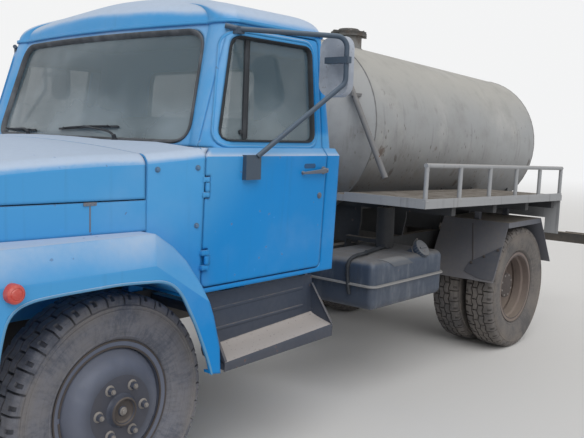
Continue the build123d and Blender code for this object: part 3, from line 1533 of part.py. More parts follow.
# Pipes: slanting vent pipe at the front head and the suction pipe at the rear head
suction_radius = 57.0
suction_z = 1186.0
with BuildPart() as pipes:
    vent = Line((20.0, 470.0, 1960.0), (62.0, 806.0, 1372.0))
    with BuildSketch(Plane(origin=vent @ 0, z_dir=vent % 0)):
        Circle(19.0)
    extrude(amount=vent.length)
    with Locations((0.0, 500.0, 1905.0)):
        Box(120.0, 30.0, 20.0)
    with Locations((x_tail, 0, suction_z)):
        Cylinder(suction_radius, 420.0, rotation=(0, 90, 0), align=(Align.CENTER, Align.CENTER, Align.MIN))
    with Locations((x_tail + 90.0, 0, suction_z)):
        Cylinder(suction_radius + 38.0, 20.0, rotation=(0, 90, 0))
    with Locations((x_tail + 170.0, 0, suction_z)):
        Cylinder(suction_radius + 24.0, 110.0, rotation=(0, 90, 0))
        Cylinder(20.0, 190.0, align=(Align.CENTER, Align.CENTER, Align.MIN))
        with Locations((0, 0, 190.0)):
            Cylinder(70.0, 14.0)
    add(tank, mode=Mode.SUBTRACT)
save(pipes.part, "pipes")

# Tail lamps on a bar across the rails' rear ends
tail_bar_half = 1050.0
with BuildPart() as tail_bar:
    with Locations((x_rail_rear - 30.0, 0, rail_middle)):
        Box(60.0, 2 * tail_bar_half, 90.0)
    for side in sides.values():
        with Locations((x_rail_rear - 70.0, side * (tail_bar_half - 150.0), rail_middle)):
            Box(24.0, 240.0, 100.0)
save(tail_bar.part, "tail_bar")
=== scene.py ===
import json
import math

import bmesh
import bpy
import numpy as np
from bpy.props import FloatProperty, FloatVectorProperty, IntProperty, PointerProperty
from mathutils import Matrix, Vector


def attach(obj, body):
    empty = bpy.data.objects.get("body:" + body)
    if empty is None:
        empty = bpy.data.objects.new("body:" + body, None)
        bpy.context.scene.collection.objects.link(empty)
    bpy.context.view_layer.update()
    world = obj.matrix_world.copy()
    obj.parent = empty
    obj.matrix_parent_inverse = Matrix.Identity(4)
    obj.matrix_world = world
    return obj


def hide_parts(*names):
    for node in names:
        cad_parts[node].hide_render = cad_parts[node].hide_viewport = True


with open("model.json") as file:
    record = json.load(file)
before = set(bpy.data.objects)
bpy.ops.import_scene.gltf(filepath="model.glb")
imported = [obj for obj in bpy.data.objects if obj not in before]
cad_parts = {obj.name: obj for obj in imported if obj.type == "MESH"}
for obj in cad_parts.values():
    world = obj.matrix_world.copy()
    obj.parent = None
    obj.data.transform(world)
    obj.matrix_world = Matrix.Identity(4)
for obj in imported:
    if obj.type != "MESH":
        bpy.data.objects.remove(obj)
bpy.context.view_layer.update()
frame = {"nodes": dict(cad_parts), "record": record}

bl_info = {
    "name": "Tanker truck dressing",
    "version": (1, 0, 0),
    "blender": (4, 5, 0),
    "location": "View3D > Sidebar > Tanker truck",
    "description": "Dresses the packed tanker truck with finishes, tyres, seals, fittings and a studio",
    "category": "Object",
}

# Places that the CAD source also has, in metres. +X forward, +Y the truck's left, +Z up
SIDES = {"left": 1.0, "right": -1.0}
FRONT_AXLE_X = 2.220
REAR_AXLE_X = -1.550
AXLE_Z = 0.480
FRONT_WHEEL_Y = 0.850
REAR_WHEEL_Y = 0.780
DISC_OFFSET = 0.141
RIM_RADIUS = 0.257
FLANGE_RADIUS = 0.282
NUT_CIRCLE = 0.111
RIM_HALF_WIDTH = 0.086
RIM_WALL = 0.009
SPINDLE_BORE = 0.02805
TANK_RADIUS = 0.608
TANK_SEAM_X = -0.100
TANK_AXIS_Z = 1.698
TANK_LENGTH = 2.560
TANK_SLOPE = math.radians(2.5)
DECK_SLOPE = math.radians(1.4)
DECK_FRONT_X = 0.218
DECK_TOP = 1.262
DECK_LENGTH = 2.100
DECK_HALF = 1.200
HATCH_X = -0.560
FENDER_HALF = 1.150

# Cab outline at its belt and at its gutter: height, half width, side end, pillar x and y, middle of front
BELT_RING = (1.558, 1.050, 1.690, 1.768, 0.868, 1.868)
GUTTER_RING = (2.138, 0.962, 1.560, 1.596, 0.806, 1.668)
WINDSCREEN = [(0.860, 1.584), (0.796, 2.112), (-0.796, 2.112), (-0.860, 1.584)]
REAR_WINDOW = [(0.500, 1.680), (0.480, 2.000), (-0.480, 2.000), (-0.500, 1.680)]
DOOR_WINDOW = [(1.722, 1.600), (1.592, 2.076), (1.046, 2.076), (1.084, 1.598)]

# Directions, and how far out beside the truck a measuring line starts
AHEAD = (1.0, 0.0, 0.0)
LEFTWARD = (0.0, 1.0, 0.0)
UP = (0.0, 0.0, 1.0)
BESIDE = 1.5


def colour(name, description, default):
    """A colour that a user may change."""
    return FloatVectorProperty(
        name=name, description=description, subtype="COLOR", size=3, min=0.0, max=1.0, default=default
    )


def length(name, description, default):
    """A length in metres that a user may change."""
    return FloatProperty(name=name, description=description, unit="LENGTH", min=0.0, default=default)


class TankerColours(bpy.types.PropertyGroup):
    """Colours of the truck's finishes."""

    cab: colour("Cab paint", "Deep sky blue of the doors and the cab's lower half", (0.003, 0.245, 0.650))
    # Lighter blue toward the cab's front and top: painted light
    cab_light: colour("Light cab paint", "Paler blue of hood, fenders and pillars", (0.072, 0.345, 0.700))
    # Pale blue on what faces up: bleached and dusty, and partly a painted highlight
    cab_faded: colour("Faded cab paint", "Bleached, dusty blue on what faces up", (0.520, 0.620, 0.770))
    tank: colour("Tank paint", "Grey-beige of the tank", (0.340, 0.350, 0.358))
    # Pale top of the tank: partly sandy dust, partly a painted highlight
    tank_top: colour("Tank top", "Paler, sandy grey on the tank's upper side", (0.430, 0.420, 0.390))
    deck: colour("Platform paint", "Pale grey of the platforms and railings", (0.340, 0.350, 0.365))
    dust: colour("Road dust", "Tan dust on treads, steps and tyres", (0.300, 0.250, 0.195))
    rust: colour("Rust", "Brown of bare, rusted steel", (0.140, 0.062, 0.030))
    grime: colour("Grime", "Dark streaks and oily dirt", (0.050, 0.046, 0.042))
    rubber: colour("Tyre rubber", "Weathered dark grey of the tyres", (0.087, 0.096, 0.124))
    marker: colour("Marker lens", "Red of the side markers and tail lamps", (0.560, 0.060, 0.045))


class TankerSizes(bpy.types.PropertyGroup):
    """Sizes of what the scene adds to the CAD model."""

    tread_depth: length("Tread depth", "Depth of the tyres' grooves", 0.013)
    tread_pitches: IntProperty(name="Tread pitches", description="Blocks around a tyre", default=34, min=12)
    seal_width: length("Seal width", "Width of the rubber around a window", 0.024)
    weld_width: length("Weld width", "Width of the tank's weld beads", 0.009)
    bolt_radius: length("Bolt head radius", "Radius of the panels' bolt heads", 0.0085)


class TankerStudio(bpy.types.PropertyGroup):
    """Camera, lamps and floor."""

    lens: FloatProperty(name="Lens", description="Focal length for a 36 mm sensor", default=45.72, min=1.0)
    sun: FloatProperty(name="Soft sun", description="Strength of the wide soft lamp", default=1.45, min=0.0)
    sky: FloatProperty(name="Sky", description="Strength of the light from all sides", default=0.62, min=0.0)
    floor: colour("Floor", "Colour of the plain floor", (0.760, 0.750, 0.735))
    backdrop: colour("Backdrop", "Colour behind the truck", (0.900, 0.905, 0.910))


def sizes():
    """The sizes that the user has set."""
    return bpy.context.scene.tanker_sizes


class Number:
    """A number inside a finish, carried by a node's socket. Sums and products add Math nodes."""

    def __init__(self, finish, socket):
        self.finish = finish
        self.socket = socket

    def combine(self, operation, first, second):
        """A new number, worked out by one Math node."""
        return self.finish.node("ShaderNodeMath", {"operation": operation}, {0: first, 1: second})

    def __add__(self, other):
        return self.combine("ADD", self, other)

    def __radd__(self, other):
        return self.combine("ADD", other, self)

    def __sub__(self, other):
        return self.combine("SUBTRACT", self, other)

    def __rsub__(self, other):
        return self.combine("SUBTRACT", other, self)

    def __mul__(self, other):
        return self.combine("MULTIPLY", self, other)

    def __rmul__(self, other):
        return self.combine("MULTIPLY", other, self)


class Finish:
    """One material: its node tree, its shader, and the one method that adds any other node."""

    def __init__(self, name):
        self.material = bpy.data.materials.new(name)
        self.material.use_nodes = True
        self.tree = self.material.node_tree
        self.tree.nodes.clear()
        self.shader = self.tree.nodes.new("ShaderNodeBsdfPrincipled")
        self.end = self.tree.nodes.new("ShaderNodeOutputMaterial")
        self.tree.links.new(self.shader.outputs[0], self.end.inputs["Surface"])
        self.place = self.node("ShaderNodeTexCoord", output="Object")
        self.facing = self.node("ShaderNodeTexCoord", output="Normal")

    def node(self, kind, settings=None, inputs=None, output=0):
        """Add a node of any type, set it, feed its sockets with values or links, and return one output."""
        made = self.tree.nodes.new(kind)
        for key, value in (settings or {}).items():
            setattr(made, key, value)
        for key, value in (inputs or {}).items():
            self.feed(made.inputs[key], value)
        return Number(self, made.outputs[output])

    def feed(self, socket, value):
        """Link a socket to another node's output, or set its own value."""
        if isinstance(value, Number):
            self.tree.links.new(value.socket, socket)
        elif socket.type == "RGBA":
            socket.default_value = (*tuple(value)[:3], 1.0)
        else:
            socket.default_value = value

    def surface(self, paint, rough, bumps=None, **sockets):
        """Feed the shader's colour, roughness and bumps, and other sockets named in plain lower case."""
        sockets.update(base_color=paint, roughness=rough)
        if bumps:
            sockets["normal"] = bumps
        for name, value in sockets.items():
            self.feed(self.shader.inputs[name.replace("_", " ").title()], value)
        return self.material

    def stretched(self, x, y, z):
        """Object coordinates, scaled along each axis."""
        return self.node("ShaderNodeVectorMath", {"operation": "MULTIPLY"}, {0: self.place, 1: (x, y, z)})

    def noise(self, scale, detail=4.0, roughness=0.55, vector=None):
        """Cloudy pattern from 0 to 1, in waves per metre."""
        sockets = {"Vector": vector or self.place, "Scale": scale, "Detail": detail, "Roughness": roughness}
        return self.node("ShaderNodeTexNoise", {}, sockets)

    def cells(self, scale, vector=None):
        """Distance to the nearest of scattered points."""
        return self.node("ShaderNodeTexVoronoi", {}, {"Vector": vector or self.place, "Scale": scale})

    def ease(self, value, low, high):
        """0 at and below low, 1 at and above high, smooth between. Low above high turns it round."""
        sockets = {0: value, 1: low, 2: high}
        return self.node("ShaderNodeMapRange", {"interpolation_type": "SMOOTHSTEP"}, sockets)

    def at(self, axis):
        """Place along one of the truck's axes, in metres."""
        return self.node("ShaderNodeSeparateXYZ", {}, {0: self.place}, output=axis)

    def upward(self):
        """How far the surface looks up, from -1 to 1."""
        return self.node("ShaderNodeSeparateXYZ", {}, {0: self.facing}, output="Z")

    def blend(self, factor, first, second):
        """Colour that goes from the first to the second."""
        return self.node("ShaderNodeMix", {"data_type": "RGBA"}, {0: factor, 6: first, 7: second}, output=2)

    def relief(self, height, strength, distance):
        """Bumps from a height between 0 and 1, distance metres high."""
        return self.node("ShaderNodeBump", {}, {"Height": height, "Strength": strength, "Distance": distance})


finishes = {}


def finish_for(name):
    """The named finish, made the first time it is asked for."""
    if name not in finishes:
        if name in WEATHERED:
            finishes[name] = weathered(name, *WEATHERED[name], last=LAST_COATS.get(name))
        elif name in IRONS:
            finishes[name] = bare_iron(name, *IRONS[name])
        else:
            finishes[name] = RECIPES[name](name)
    return finishes[name]


def tone(colour_or_name):
    """A colour as it stands, or the user's colour of that name."""
    if isinstance(colour_or_name, str):
        return tuple(getattr(bpy.context.scene.tanker_colours, colour_or_name))
    return colour_or_name


def from_axle(made, axle_x):
    """Distance from a wheel's axle, and the angle round it."""
    ahead = made.at("X") - axle_x
    above = made.at("Z") - AXLE_Z
    arm = made.node("ShaderNodeCombineXYZ", {}, {0: ahead, 1: above})
    radius = made.node("ShaderNodeVectorMath", {"operation": "LENGTH"}, {0: arm}, output="Value")
    return radius, made.node("ShaderNodeMath", {"operation": "ARCTAN2"}, {0: above, 1: ahead})


def weathered(name, base, faded, fade, dust, streaks, chips, gloss, dents, low_dust=0.0, last=None,
              reach=(0.62, 1.15), rise=None, brighter=None, sheen=0.5, fold=0.0):
    """Old paint: pale where it faces up, bleached and dusty, and on the cab partly a painted highlight;
    streaked down its sides, chipped to rust in specks.

    The bleaching sets in over the reach of how far a face looks up, and over the heights of the rise, where
    one is given. A brighter function gives a share and a colour for places with another tone; a last function
    may paint over all. Pressed edges look folded over the radius of the fold.
    """
    base, faded = tone(base), tone(faded)
    made = Finish(name)
    made.shader.inputs["Specular IOR Level"].default_value = sheen
    up = made.upward()
    height = made.at("Z")
    cloud = made.noise(1.7, 5.0)
    fine = made.noise(34.0, 6.0, 0.65)
    grain = made.noise(260.0, 2.0)
    bleached = made.ease(up + 0.5 * cloud + 0.10 * fine, *reach) * fade
    if rise:
        bleached = bleached * made.ease(height + 0.10 * cloud + 0.02 * fine, *rise)
    paint = made.blend(made.ease(made.noise(0.9, 3.0), 0.35, 0.70) * 0.55, base, [0.80 * c for c in base])
    if brighter:
        share, other_tone = brighter(made)
        paint = made.blend(share, paint, other_tone)
    paint = made.blend(made.ease(made.noise(2.6, 6.0), 0.46, 0.80) * 0.10, paint, faded)
    paint = made.blend(bleached, paint, faded)
    runs = made.noise(1.0, 5.0, 0.6, made.stretched(26.0, 26.0, 1.1))
    below = 1.0 - made.ease(up, 0.25, 0.75)
    paint = made.blend(made.ease(runs, 0.56, 0.80) * below * streaks, paint, tone("grime"))
    settled = made.ease(up * 0.6 + fine * 0.5 + cloud * 0.35, 0.62, 1.10) * dust
    splashed = made.ease(height + 0.34 * cloud + 0.12 * fine, 1.12, 0.62) * low_dust
    paint = made.blend(settled, paint, tone("dust"))
    paint = made.blend(splashed, paint, tone("dust"))
    scarce = made.ease(made.noise(2.3, 3.0), 0.50, 0.58) * chips
    point = made.cells(13.0) + 0.34 * made.noise(85.0, 4.0)
    spots = made.ease(point, 0.255, 0.215) * scarce
    ring = made.ease(point, 0.300, 0.240) * scarce * 0.6
    paint = made.blend(ring, paint, [min(1.0, 1.25 * c + 0.10) for c in base])
    paint = made.blend(spots, paint, tone("rust"))
    if last:
        paint = last(made, paint)
    dull = made.ease(fine + cloud, 0.7, 1.3) * 0.16
    rough = gloss + dull + bleached * 0.22 + settled * 0.30 + splashed * 0.25 + spots * 0.30
    wave = made.noise(4.2, 2.0) * 0.85 + grain * 0.05 + fine * 0.10 - spots * 0.5
    bumps = made.relief(wave, dents, 0.004)
    if fold:
        rounded = made.node("ShaderNodeBevel", {"samples": 8}, {"Radius": fold})
        made.feed(bumps.socket.node.inputs["Normal"], rounded)
    return made.surface(paint, rough, bumps)


def cab_paint(name):
    """Sky blue: deep on the doors' lower half, lighter on hood, fenders and pillars as painted light, pale on
    top: bleached, and partly a painted highlight.
    """
    def brighter(made):
        """Share and colour of the lighter blue, painted light that sets in toward the front and the top."""
        ahead = made.at("X") + made.at("Z") + 0.12 * made.noise(2.2, 5.0)
        return made.ease(ahead, 2.90, 3.45), tone("cab_light")

    def last(made, paint):
        """A lighter blue band on the doors' rounded shoulder is a painted highlight, and the pale top,
        bleached and partly a painted highlight, fades out over the fenders' outer bevel.
        """
        high, aside = made.at("Z"), made.at("Y")
        far_aside = aside * aside
        ledge = made.ease(high, 1.525, 1.555) * made.ease(high, 1.660, 1.625)
        ledge = ledge * made.ease(far_aside, 0.86, 0.92)
        shoulder_highlight = ledge * made.ease(made.at("X"), 1.84, 1.80)
        # Painted highlight along the doors' rounded shoulder
        paint = made.blend(shoulder_highlight * (0.62 + 0.30 * made.noise(3.0, 5.0)), paint, (0.080, 0.350, 0.700))
        outward = made.ease(far_aside + 0.10 * made.noise(5.0, 5.0), 1.25, 1.40)
        rearward = made.ease(made.at("X") + 0.08 * made.noise(5.0, 5.0), 2.24, 2.06)
        on_fenders = made.ease(high, 1.245, 1.235) * made.ease(made.upward(), 0.15, 0.45)
        return made.blend((outward + rearward) * on_fenders * 0.92, paint, (0.078, 0.340, 0.690))

    return weathered(
        name, "cab", "cab_faded", fade=0.94, dust=0.12, streaks=0.10, chips=0.42, gloss=0.36, dents=0.30,
        last=last, reach=(0.46, 0.92), rise=(1.02, 1.20), brighter=brighter, sheen=0.25, fold=0.020,
    )


def trodden_steps(made, paint):
    """A thick pale layer of dust on the treads, with dark crumbs."""
    lying = made.ease(made.upward() + 0.25 * made.noise(26.0, 6.0, 0.7), 0.72, 0.95)
    crumbs = made.ease(made.noise(70.0, 4.0), 0.62, 0.70) * 0.5
    dusty = made.blend(lying * 0.9, paint, (0.430, 0.395, 0.375))
    return made.blend(crumbs * lying, dusty, (0.090, 0.070, 0.058))


def run_down_tank(made, paint):
    """Pale dust run down the fuel tank's sides, and a worn bright edge on its joining flange."""
    height = made.at("Z")
    runs = made.noise(1.0, 5.0, 0.62, made.stretched(15.0, 15.0, 3.0)) + 0.3 * made.noise(5.0, 5.0)
    paint = made.blend(made.ease(runs, 0.64, 0.92) * 0.45, paint, (0.205, 0.228, 0.262))
    flange = made.ease(height, 0.7535, 0.7560) * made.ease(height, 0.7705, 0.7680)
    return made.blend(flange * 0.85, paint, (0.300, 0.295, 0.290))


def trodden_deck(made, paint):
    """Brownish soil on what lies flat."""
    lying = made.ease(made.upward(), 0.80, 0.95)
    patches = made.ease(made.noise(9.0, 6.0, 0.7), 0.40, 0.62)
    soil = made.blend(patches, (0.225, 0.205, 0.180), (0.110, 0.088, 0.070))
    return made.blend(lying * 0.9, paint, soil)


def dark_front_middle(made, paint):
    """Darker toward the middle of the front discs."""
    radius = from_axle(made, FRONT_AXLE_X)[0]
    inner = made.ease(radius + 0.03 * made.noise(9.0, 5.0), 0.225, 0.150)
    return made.blend(inner * 0.70, paint, (0.034, 0.040, 0.060))


def oily_rear_middle(made, paint):
    """Dark and oily round the rear hubs."""
    radius = from_axle(made, REAR_AXLE_X)[0]
    inner = made.ease(radius + 0.02 * made.noise(20.0, 5.0), 0.150, 0.105)
    return made.blend(inner * 0.75, paint, (0.038, 0.034, 0.036))


def mirror_paint(name):
    """Dark tubes and bracket, and a pale grey shell where the head is, behind the tube."""
    made = Finish(name)
    shell = made.ease(made.at("X"), 1.1725, 1.1705)
    cloud = made.noise(8.0, 6.0, 0.62)
    fine = made.noise(70.0, 5.0)
    up = made.upward()
    faded = made.ease(up + 0.4 * cloud, 0.35, 1.05)
    tube_tone = made.blend(faded, (0.046, 0.072, 0.108), (0.120, 0.165, 0.220))
    shell_tone = made.blend(made.ease(cloud, 0.36, 0.70), (0.300, 0.335, 0.400), (0.440, 0.480, 0.550))
    paint = made.blend(shell, tube_tone, shell_tone)
    worn = made.ease(fine + 0.5 * cloud, 0.86, 1.05) * 0.6
    paint = made.blend(worn, paint, (0.120, 0.095, 0.085))
    return made.surface(paint, 0.42 + 0.20 * fine, made.relief(cloud, 0.3, 0.002))


def tank_paint(name):
    """Grey-beige tank: paler on top, partly sandy dust and partly a painted highlight; rain runs and rust
    specks down its sides; darker below as painted shade, with sandy stains.
    """
    # Rust blotches: place, and radius of the full rust
    blotches = (
        ((-0.199, 0.586, 1.531), 0.055),
        ((-0.175, 0.470, 2.020), 0.045),
        ((-0.90, 0.590, 1.560), 0.030),
    )
    made = Finish(name)
    up = made.upward()
    cloud = made.noise(1.1, 6.0, 0.6)
    blotch = made.noise(3.2, 8.0, 0.66)
    fine = made.noise(46.0, 6.0, 0.68)
    # Paler where it faces up: partly sandy dust, partly a painted highlight
    top = made.ease(up + 0.55 * cloud, 0.35, 1.10)
    paint = made.blend(top, tone("tank"), tone("tank_top"))
    paint = made.blend(made.ease(blotch, 0.44, 0.70) * 0.45, paint, (0.230, 0.225, 0.215))
    paint = made.blend(made.ease(made.noise(2.2, 7.0, 0.62), 0.54, 0.74) * 0.40, paint, (0.520, 0.515, 0.500))
    # Darker where it faces down: painted shade on the underside
    below = made.ease(up + 0.30 * cloud, 0.12, -0.62)
    paint = made.blend(below * 0.82, paint, (0.118, 0.121, 0.127))
    runs = made.noise(1.0, 6.0, 0.62, made.stretched(19.0, 19.0, 1.3))
    side = made.ease(up, 0.72, 0.10)
    dark_runs = made.ease(runs + 0.25 * blotch, 0.66, 0.92) * side
    paint = made.blend(dark_runs * 0.50, paint, (0.140, 0.138, 0.135))
    sandy = made.noise(1.0, 5.0, 0.6, made.stretched(12.0, 12.0, 2.2))
    low = made.ease(up + 0.22 * blotch, 0.10, -0.42)
    paint = made.blend(made.ease(sandy, 0.50, 0.74) * low * 0.42, paint, (0.190, 0.150, 0.118))
    drops = made.ease(made.cells(26.0, made.stretched(1.0, 1.0, 0.45)) + 0.5 * fine, 0.46, 0.34)
    crowded = made.ease(made.noise(2.1, 4.0) - 0.22 * up, 0.46, 0.66)
    paint = made.blend(drops * crowded * side * 0.72, paint, (0.092, 0.070, 0.056))
    specks = made.ease(made.cells(7.5, made.stretched(1.0, 1.0, 0.42)) + 0.42 * fine, 0.42, 0.32)
    marks = specks * (made.ease(made.noise(1.6, 3.0), 0.47, 0.60) * side)
    paint = made.blend(marks * 0.70, paint, (0.075, 0.055, 0.043))
    for place, reach in blotches:
        ends = {0: made.place, 1: place}
        away = made.node("ShaderNodeVectorMath", {"operation": "DISTANCE"}, ends, output="Value")
        rusted = made.ease(away + 0.05 * fine + 0.03 * blotch, reach + 0.035, reach)
        paint = made.blend(rusted * 0.75, paint, (0.115, 0.068, 0.044))
    rough = 0.50 + fine * 0.20 + top * 0.10 + marks * 0.15
    wave = made.noise(2.4, 2.0) * 0.80 + fine * 0.06 - marks * 0.35
    return made.surface(paint, rough, made.relief(wave, 0.55, 0.005))


def hatch_steel(name):
    """Dirty grey hatch, almost black at its flange, with rust in blotches."""
    made = Finish(name)
    cloud = made.noise(7.0, 6.0, 0.65)
    fine = made.noise(80.0, 5.0)
    height = made.at("Z")
    above_flange = made.ease(height + 0.06 * cloud, 2.385, 2.425)
    paint = made.blend(above_flange, (0.230, 0.230, 0.225), (0.060, 0.058, 0.055))
    paint = made.blend(made.ease(cloud, 0.52, 0.72) * 0.7, paint, (0.100, 0.070, 0.050))
    paint = made.blend(made.ease(fine, 0.56, 0.74) * 0.4, paint, (0.320, 0.310, 0.290))
    wave = cloud * 0.5 + fine * 0.3
    return made.surface(paint, 0.62 + 0.2 * cloud, made.relief(wave, 0.6, 0.003))


def bare_iron(name, base, rust_share, oil, shine):
    """Cast or rolled steel under rust, dust and oil."""
    made = Finish(name)
    cloud = made.noise(6.0, 6.0, 0.6)
    fine = made.noise(120.0, 5.0, 0.7)
    up = made.upward()
    paint = made.blend(made.ease(cloud + 0.3 * fine, 0.60, 0.92) * rust_share, base, tone("rust"))
    paint = made.blend(made.ease(made.noise(3.0, 4.0), 0.50, 0.66) * oil, paint, (0.014, 0.013, 0.012))
    paint = made.blend(made.ease(up + 0.6 * fine, 0.55, 1.25) * 0.7, paint, tone("dust"))
    bumps = made.relief(fine * 0.5 + cloud * 0.5, 0.5, 0.002)
    return made.surface(paint, 0.52 + 0.3 * fine, bumps, metallic=shine)


def rubber_seal(name):
    """Window rubber, bleached grey with fine cracks."""
    made = Finish(name)
    fine = made.noise(220.0, 4.0)
    bleached = made.ease(made.noise(9.0, 5.0), 0.38, 0.70)
    paint = made.blend(bleached, (0.055, 0.060, 0.068), (0.130, 0.140, 0.155))
    return made.surface(paint, 0.66 + 0.16 * fine, made.relief(fine, 0.4, 0.0008))


def black_trim(name):
    """Dusty black plastic or rubber of wipers, hoses and seals."""
    made = Finish(name)
    fine = made.noise(180.0, 4.0)
    dusty = made.ease(made.noise(14.0, 5.0) + 0.3 * fine, 0.60, 1.05) * 0.5
    paint = made.blend(dusty, (0.016, 0.020, 0.026), (0.080, 0.090, 0.105))
    return made.surface(paint, 0.55 + 0.25 * fine, made.relief(fine, 0.4, 0.0008))


def dash_plastic(name):
    """Dusty black grained plastic."""
    made = Finish(name)
    grain = made.cells(420.0)
    cloud = made.noise(6.0, 4.0)
    dusty = made.ease(made.upward() + 0.5 * cloud, 0.5, 1.3) * 0.6
    paint = made.blend(dusty, (0.022, 0.023, 0.026), (0.140, 0.130, 0.120))
    bumps = made.relief(grain, 0.4, 0.0006)
    return made.surface(paint, 0.52 + 0.2 * cloud, bumps)


def seat_cover(name):
    """Worn dark artificial leather: grain, creases and rubbed pale patches."""
    made = Finish(name)
    worn = made.ease(made.noise(3.0, 4.0), 0.50, 0.72)
    paint = made.blend(worn * 0.55, (0.040, 0.036, 0.034), (0.115, 0.098, 0.085))
    height = made.cells(300.0) * 0.4 + made.noise(18.0, 6.0, 0.7) * 0.6
    bumps = made.relief(height, 0.5, 0.0015)
    return made.surface(paint, 0.48 + 0.2 * worn, bumps)


def clear_glass(name):
    """Thin window glass, dark and clear, with a pale smeared film that thickens downward: partly dust, partly
    a painted reflection.
    """
    made = Finish(name)
    smear = made.noise(1.0, 3.0, 0.5, made.stretched(1.6, 1.6, 2.4))
    # Paler toward the bottom: partly dust, partly a painted reflection
    low = made.ease(made.at("Z"), 1.95, 1.58)
    film = made.ease(smear + 0.18 * low, 0.36, 0.80)
    paint = made.blend(film, (0.130, 0.180, 0.205), (0.310, 0.385, 0.430))
    return made.surface(paint, 0.04 + 0.10 * film, alpha=0.50 + 0.14 * film)


def mirror_glass(name):
    """Silvered glass, dulled in clouds."""
    made = Finish(name)
    film = made.ease(made.noise(9.0, 5.0), 0.45, 0.75)
    paint = made.blend(film * 0.4, (0.75, 0.77, 0.78), (0.50, 0.48, 0.45))
    return made.surface(paint, 0.04 + 0.25 * film, metallic=1.0 - 0.3 * film)


def lamp_lens(name):
    """Headlamp lens: pale ribbed glass over a bright bowl."""
    made = Finish(name)
    across = made.node("ShaderNodeTexWave", {"bands_direction": "Y"}, {"Vector": made.place, "Scale": 26.0})
    cloud = made.noise(20.0, 4.0)
    paint = made.blend(across * 0.5 + 0.3 * cloud, (0.36, 0.37, 0.37), (0.72, 0.72, 0.70))
    bumps = made.relief(across, 0.6, 0.003)
    return made.surface(paint, 0.12 + 0.2 * cloud, bumps, coat_weight=0.6)


def red_lens(name):
    """Faded red moulded lens with fine ribs."""
    made = Finish(name)
    ribs = made.node("ShaderNodeTexWave", {"bands_direction": "Z"}, {"Vector": made.place, "Scale": 60.0})
    cloud = made.noise(30.0, 4.0)
    paint = made.blend(made.ease(cloud, 0.45, 0.75) * 0.5, tone("marker"), (0.62, 0.20, 0.17))
    return made.surface(paint, 0.28 + 0.3 * cloud, made.relief(ribs, 0.4, 0.0015), coat_weight=0.4)


def weathered_rubber(name, axle_x, base, scuffed, dusty, dust_share, groove_tone_and_shade):
    """Old rubber: fine rings and scuffs that run out from the axle, dust in clouds, and grooves painted
    darker: painted shade, on the rear tyres mixed with dirt.
    """
    made = Finish(name)
    groove = made.node("ShaderNodeAttribute", {"attribute_name": "groove"}, output="Fac")
    radius, angle = from_axle(made, axle_x)
    polar = made.node("ShaderNodeCombineXYZ", {}, {0: 17.0 * angle, 1: 14.0 * radius})
    scuffs = made.noise(1.0, 5.0, 0.7, polar)
    ringed = made.node("ShaderNodeCombineXYZ", {}, {0: 1.5 * angle, 1: 150.0 * radius})
    rings = made.noise(1.0, 3.0, 0.6, ringed)
    cloud = made.noise(4.0, 6.0, 0.62)
    fine = made.noise(60.0, 6.0, 0.7)
    paint = made.blend(made.ease(scuffs + 0.9 * cloud + 0.5 * fine, 0.95, 1.40) * 0.8, base, scuffed)
    paint = made.blend(made.ease(rings, 0.50, 0.72) * 0.40, paint, [0.62 * c for c in base])
    paint = made.blend(made.ease(cloud + 0.35 * fine, 0.52, 0.95) * dust_share, paint, dusty)
    outer = made.ease(radius, 0.380, 0.428) * made.ease(radius, 0.448, 0.436) * made.ease(cloud, 0.36, 0.58)
    paint = made.blend(outer * 0.5, paint, dusty)
    # Painted shade in the grooves; on the rear tyres its tone holds dirt as well
    paint = made.blend(groove * 0.72, paint, groove_tone_and_shade)
    wave = 0.50 * rings + 0.10 * scuffs + 0.35 * fine
    bumps = made.relief(wave, 0.45, 0.0016)
    return made.surface(paint, 0.72 + 0.18 * fine, bumps)


def tyre_rubber(name):
    """Bluish grey front tyres, lightly dusted."""
    return weathered_rubber(name, FRONT_AXLE_X, tone("rubber"), scuffed=(0.190, 0.198, 0.235),
                            dusty=(0.225, 0.205, 0.190), dust_share=0.42, groove_tone_and_shade=(0.030, 0.031, 0.036))


def rear_tyre_rubber(name):
    """Brownish rear tyres under thick dust."""
    return weathered_rubber(name, REAR_AXLE_X, (0.092, 0.088, 0.090), scuffed=(0.150, 0.140, 0.135),
                            dusty=(0.205, 0.180, 0.160), dust_share=0.75, groove_tone_and_shade=(0.055, 0.048, 0.045))


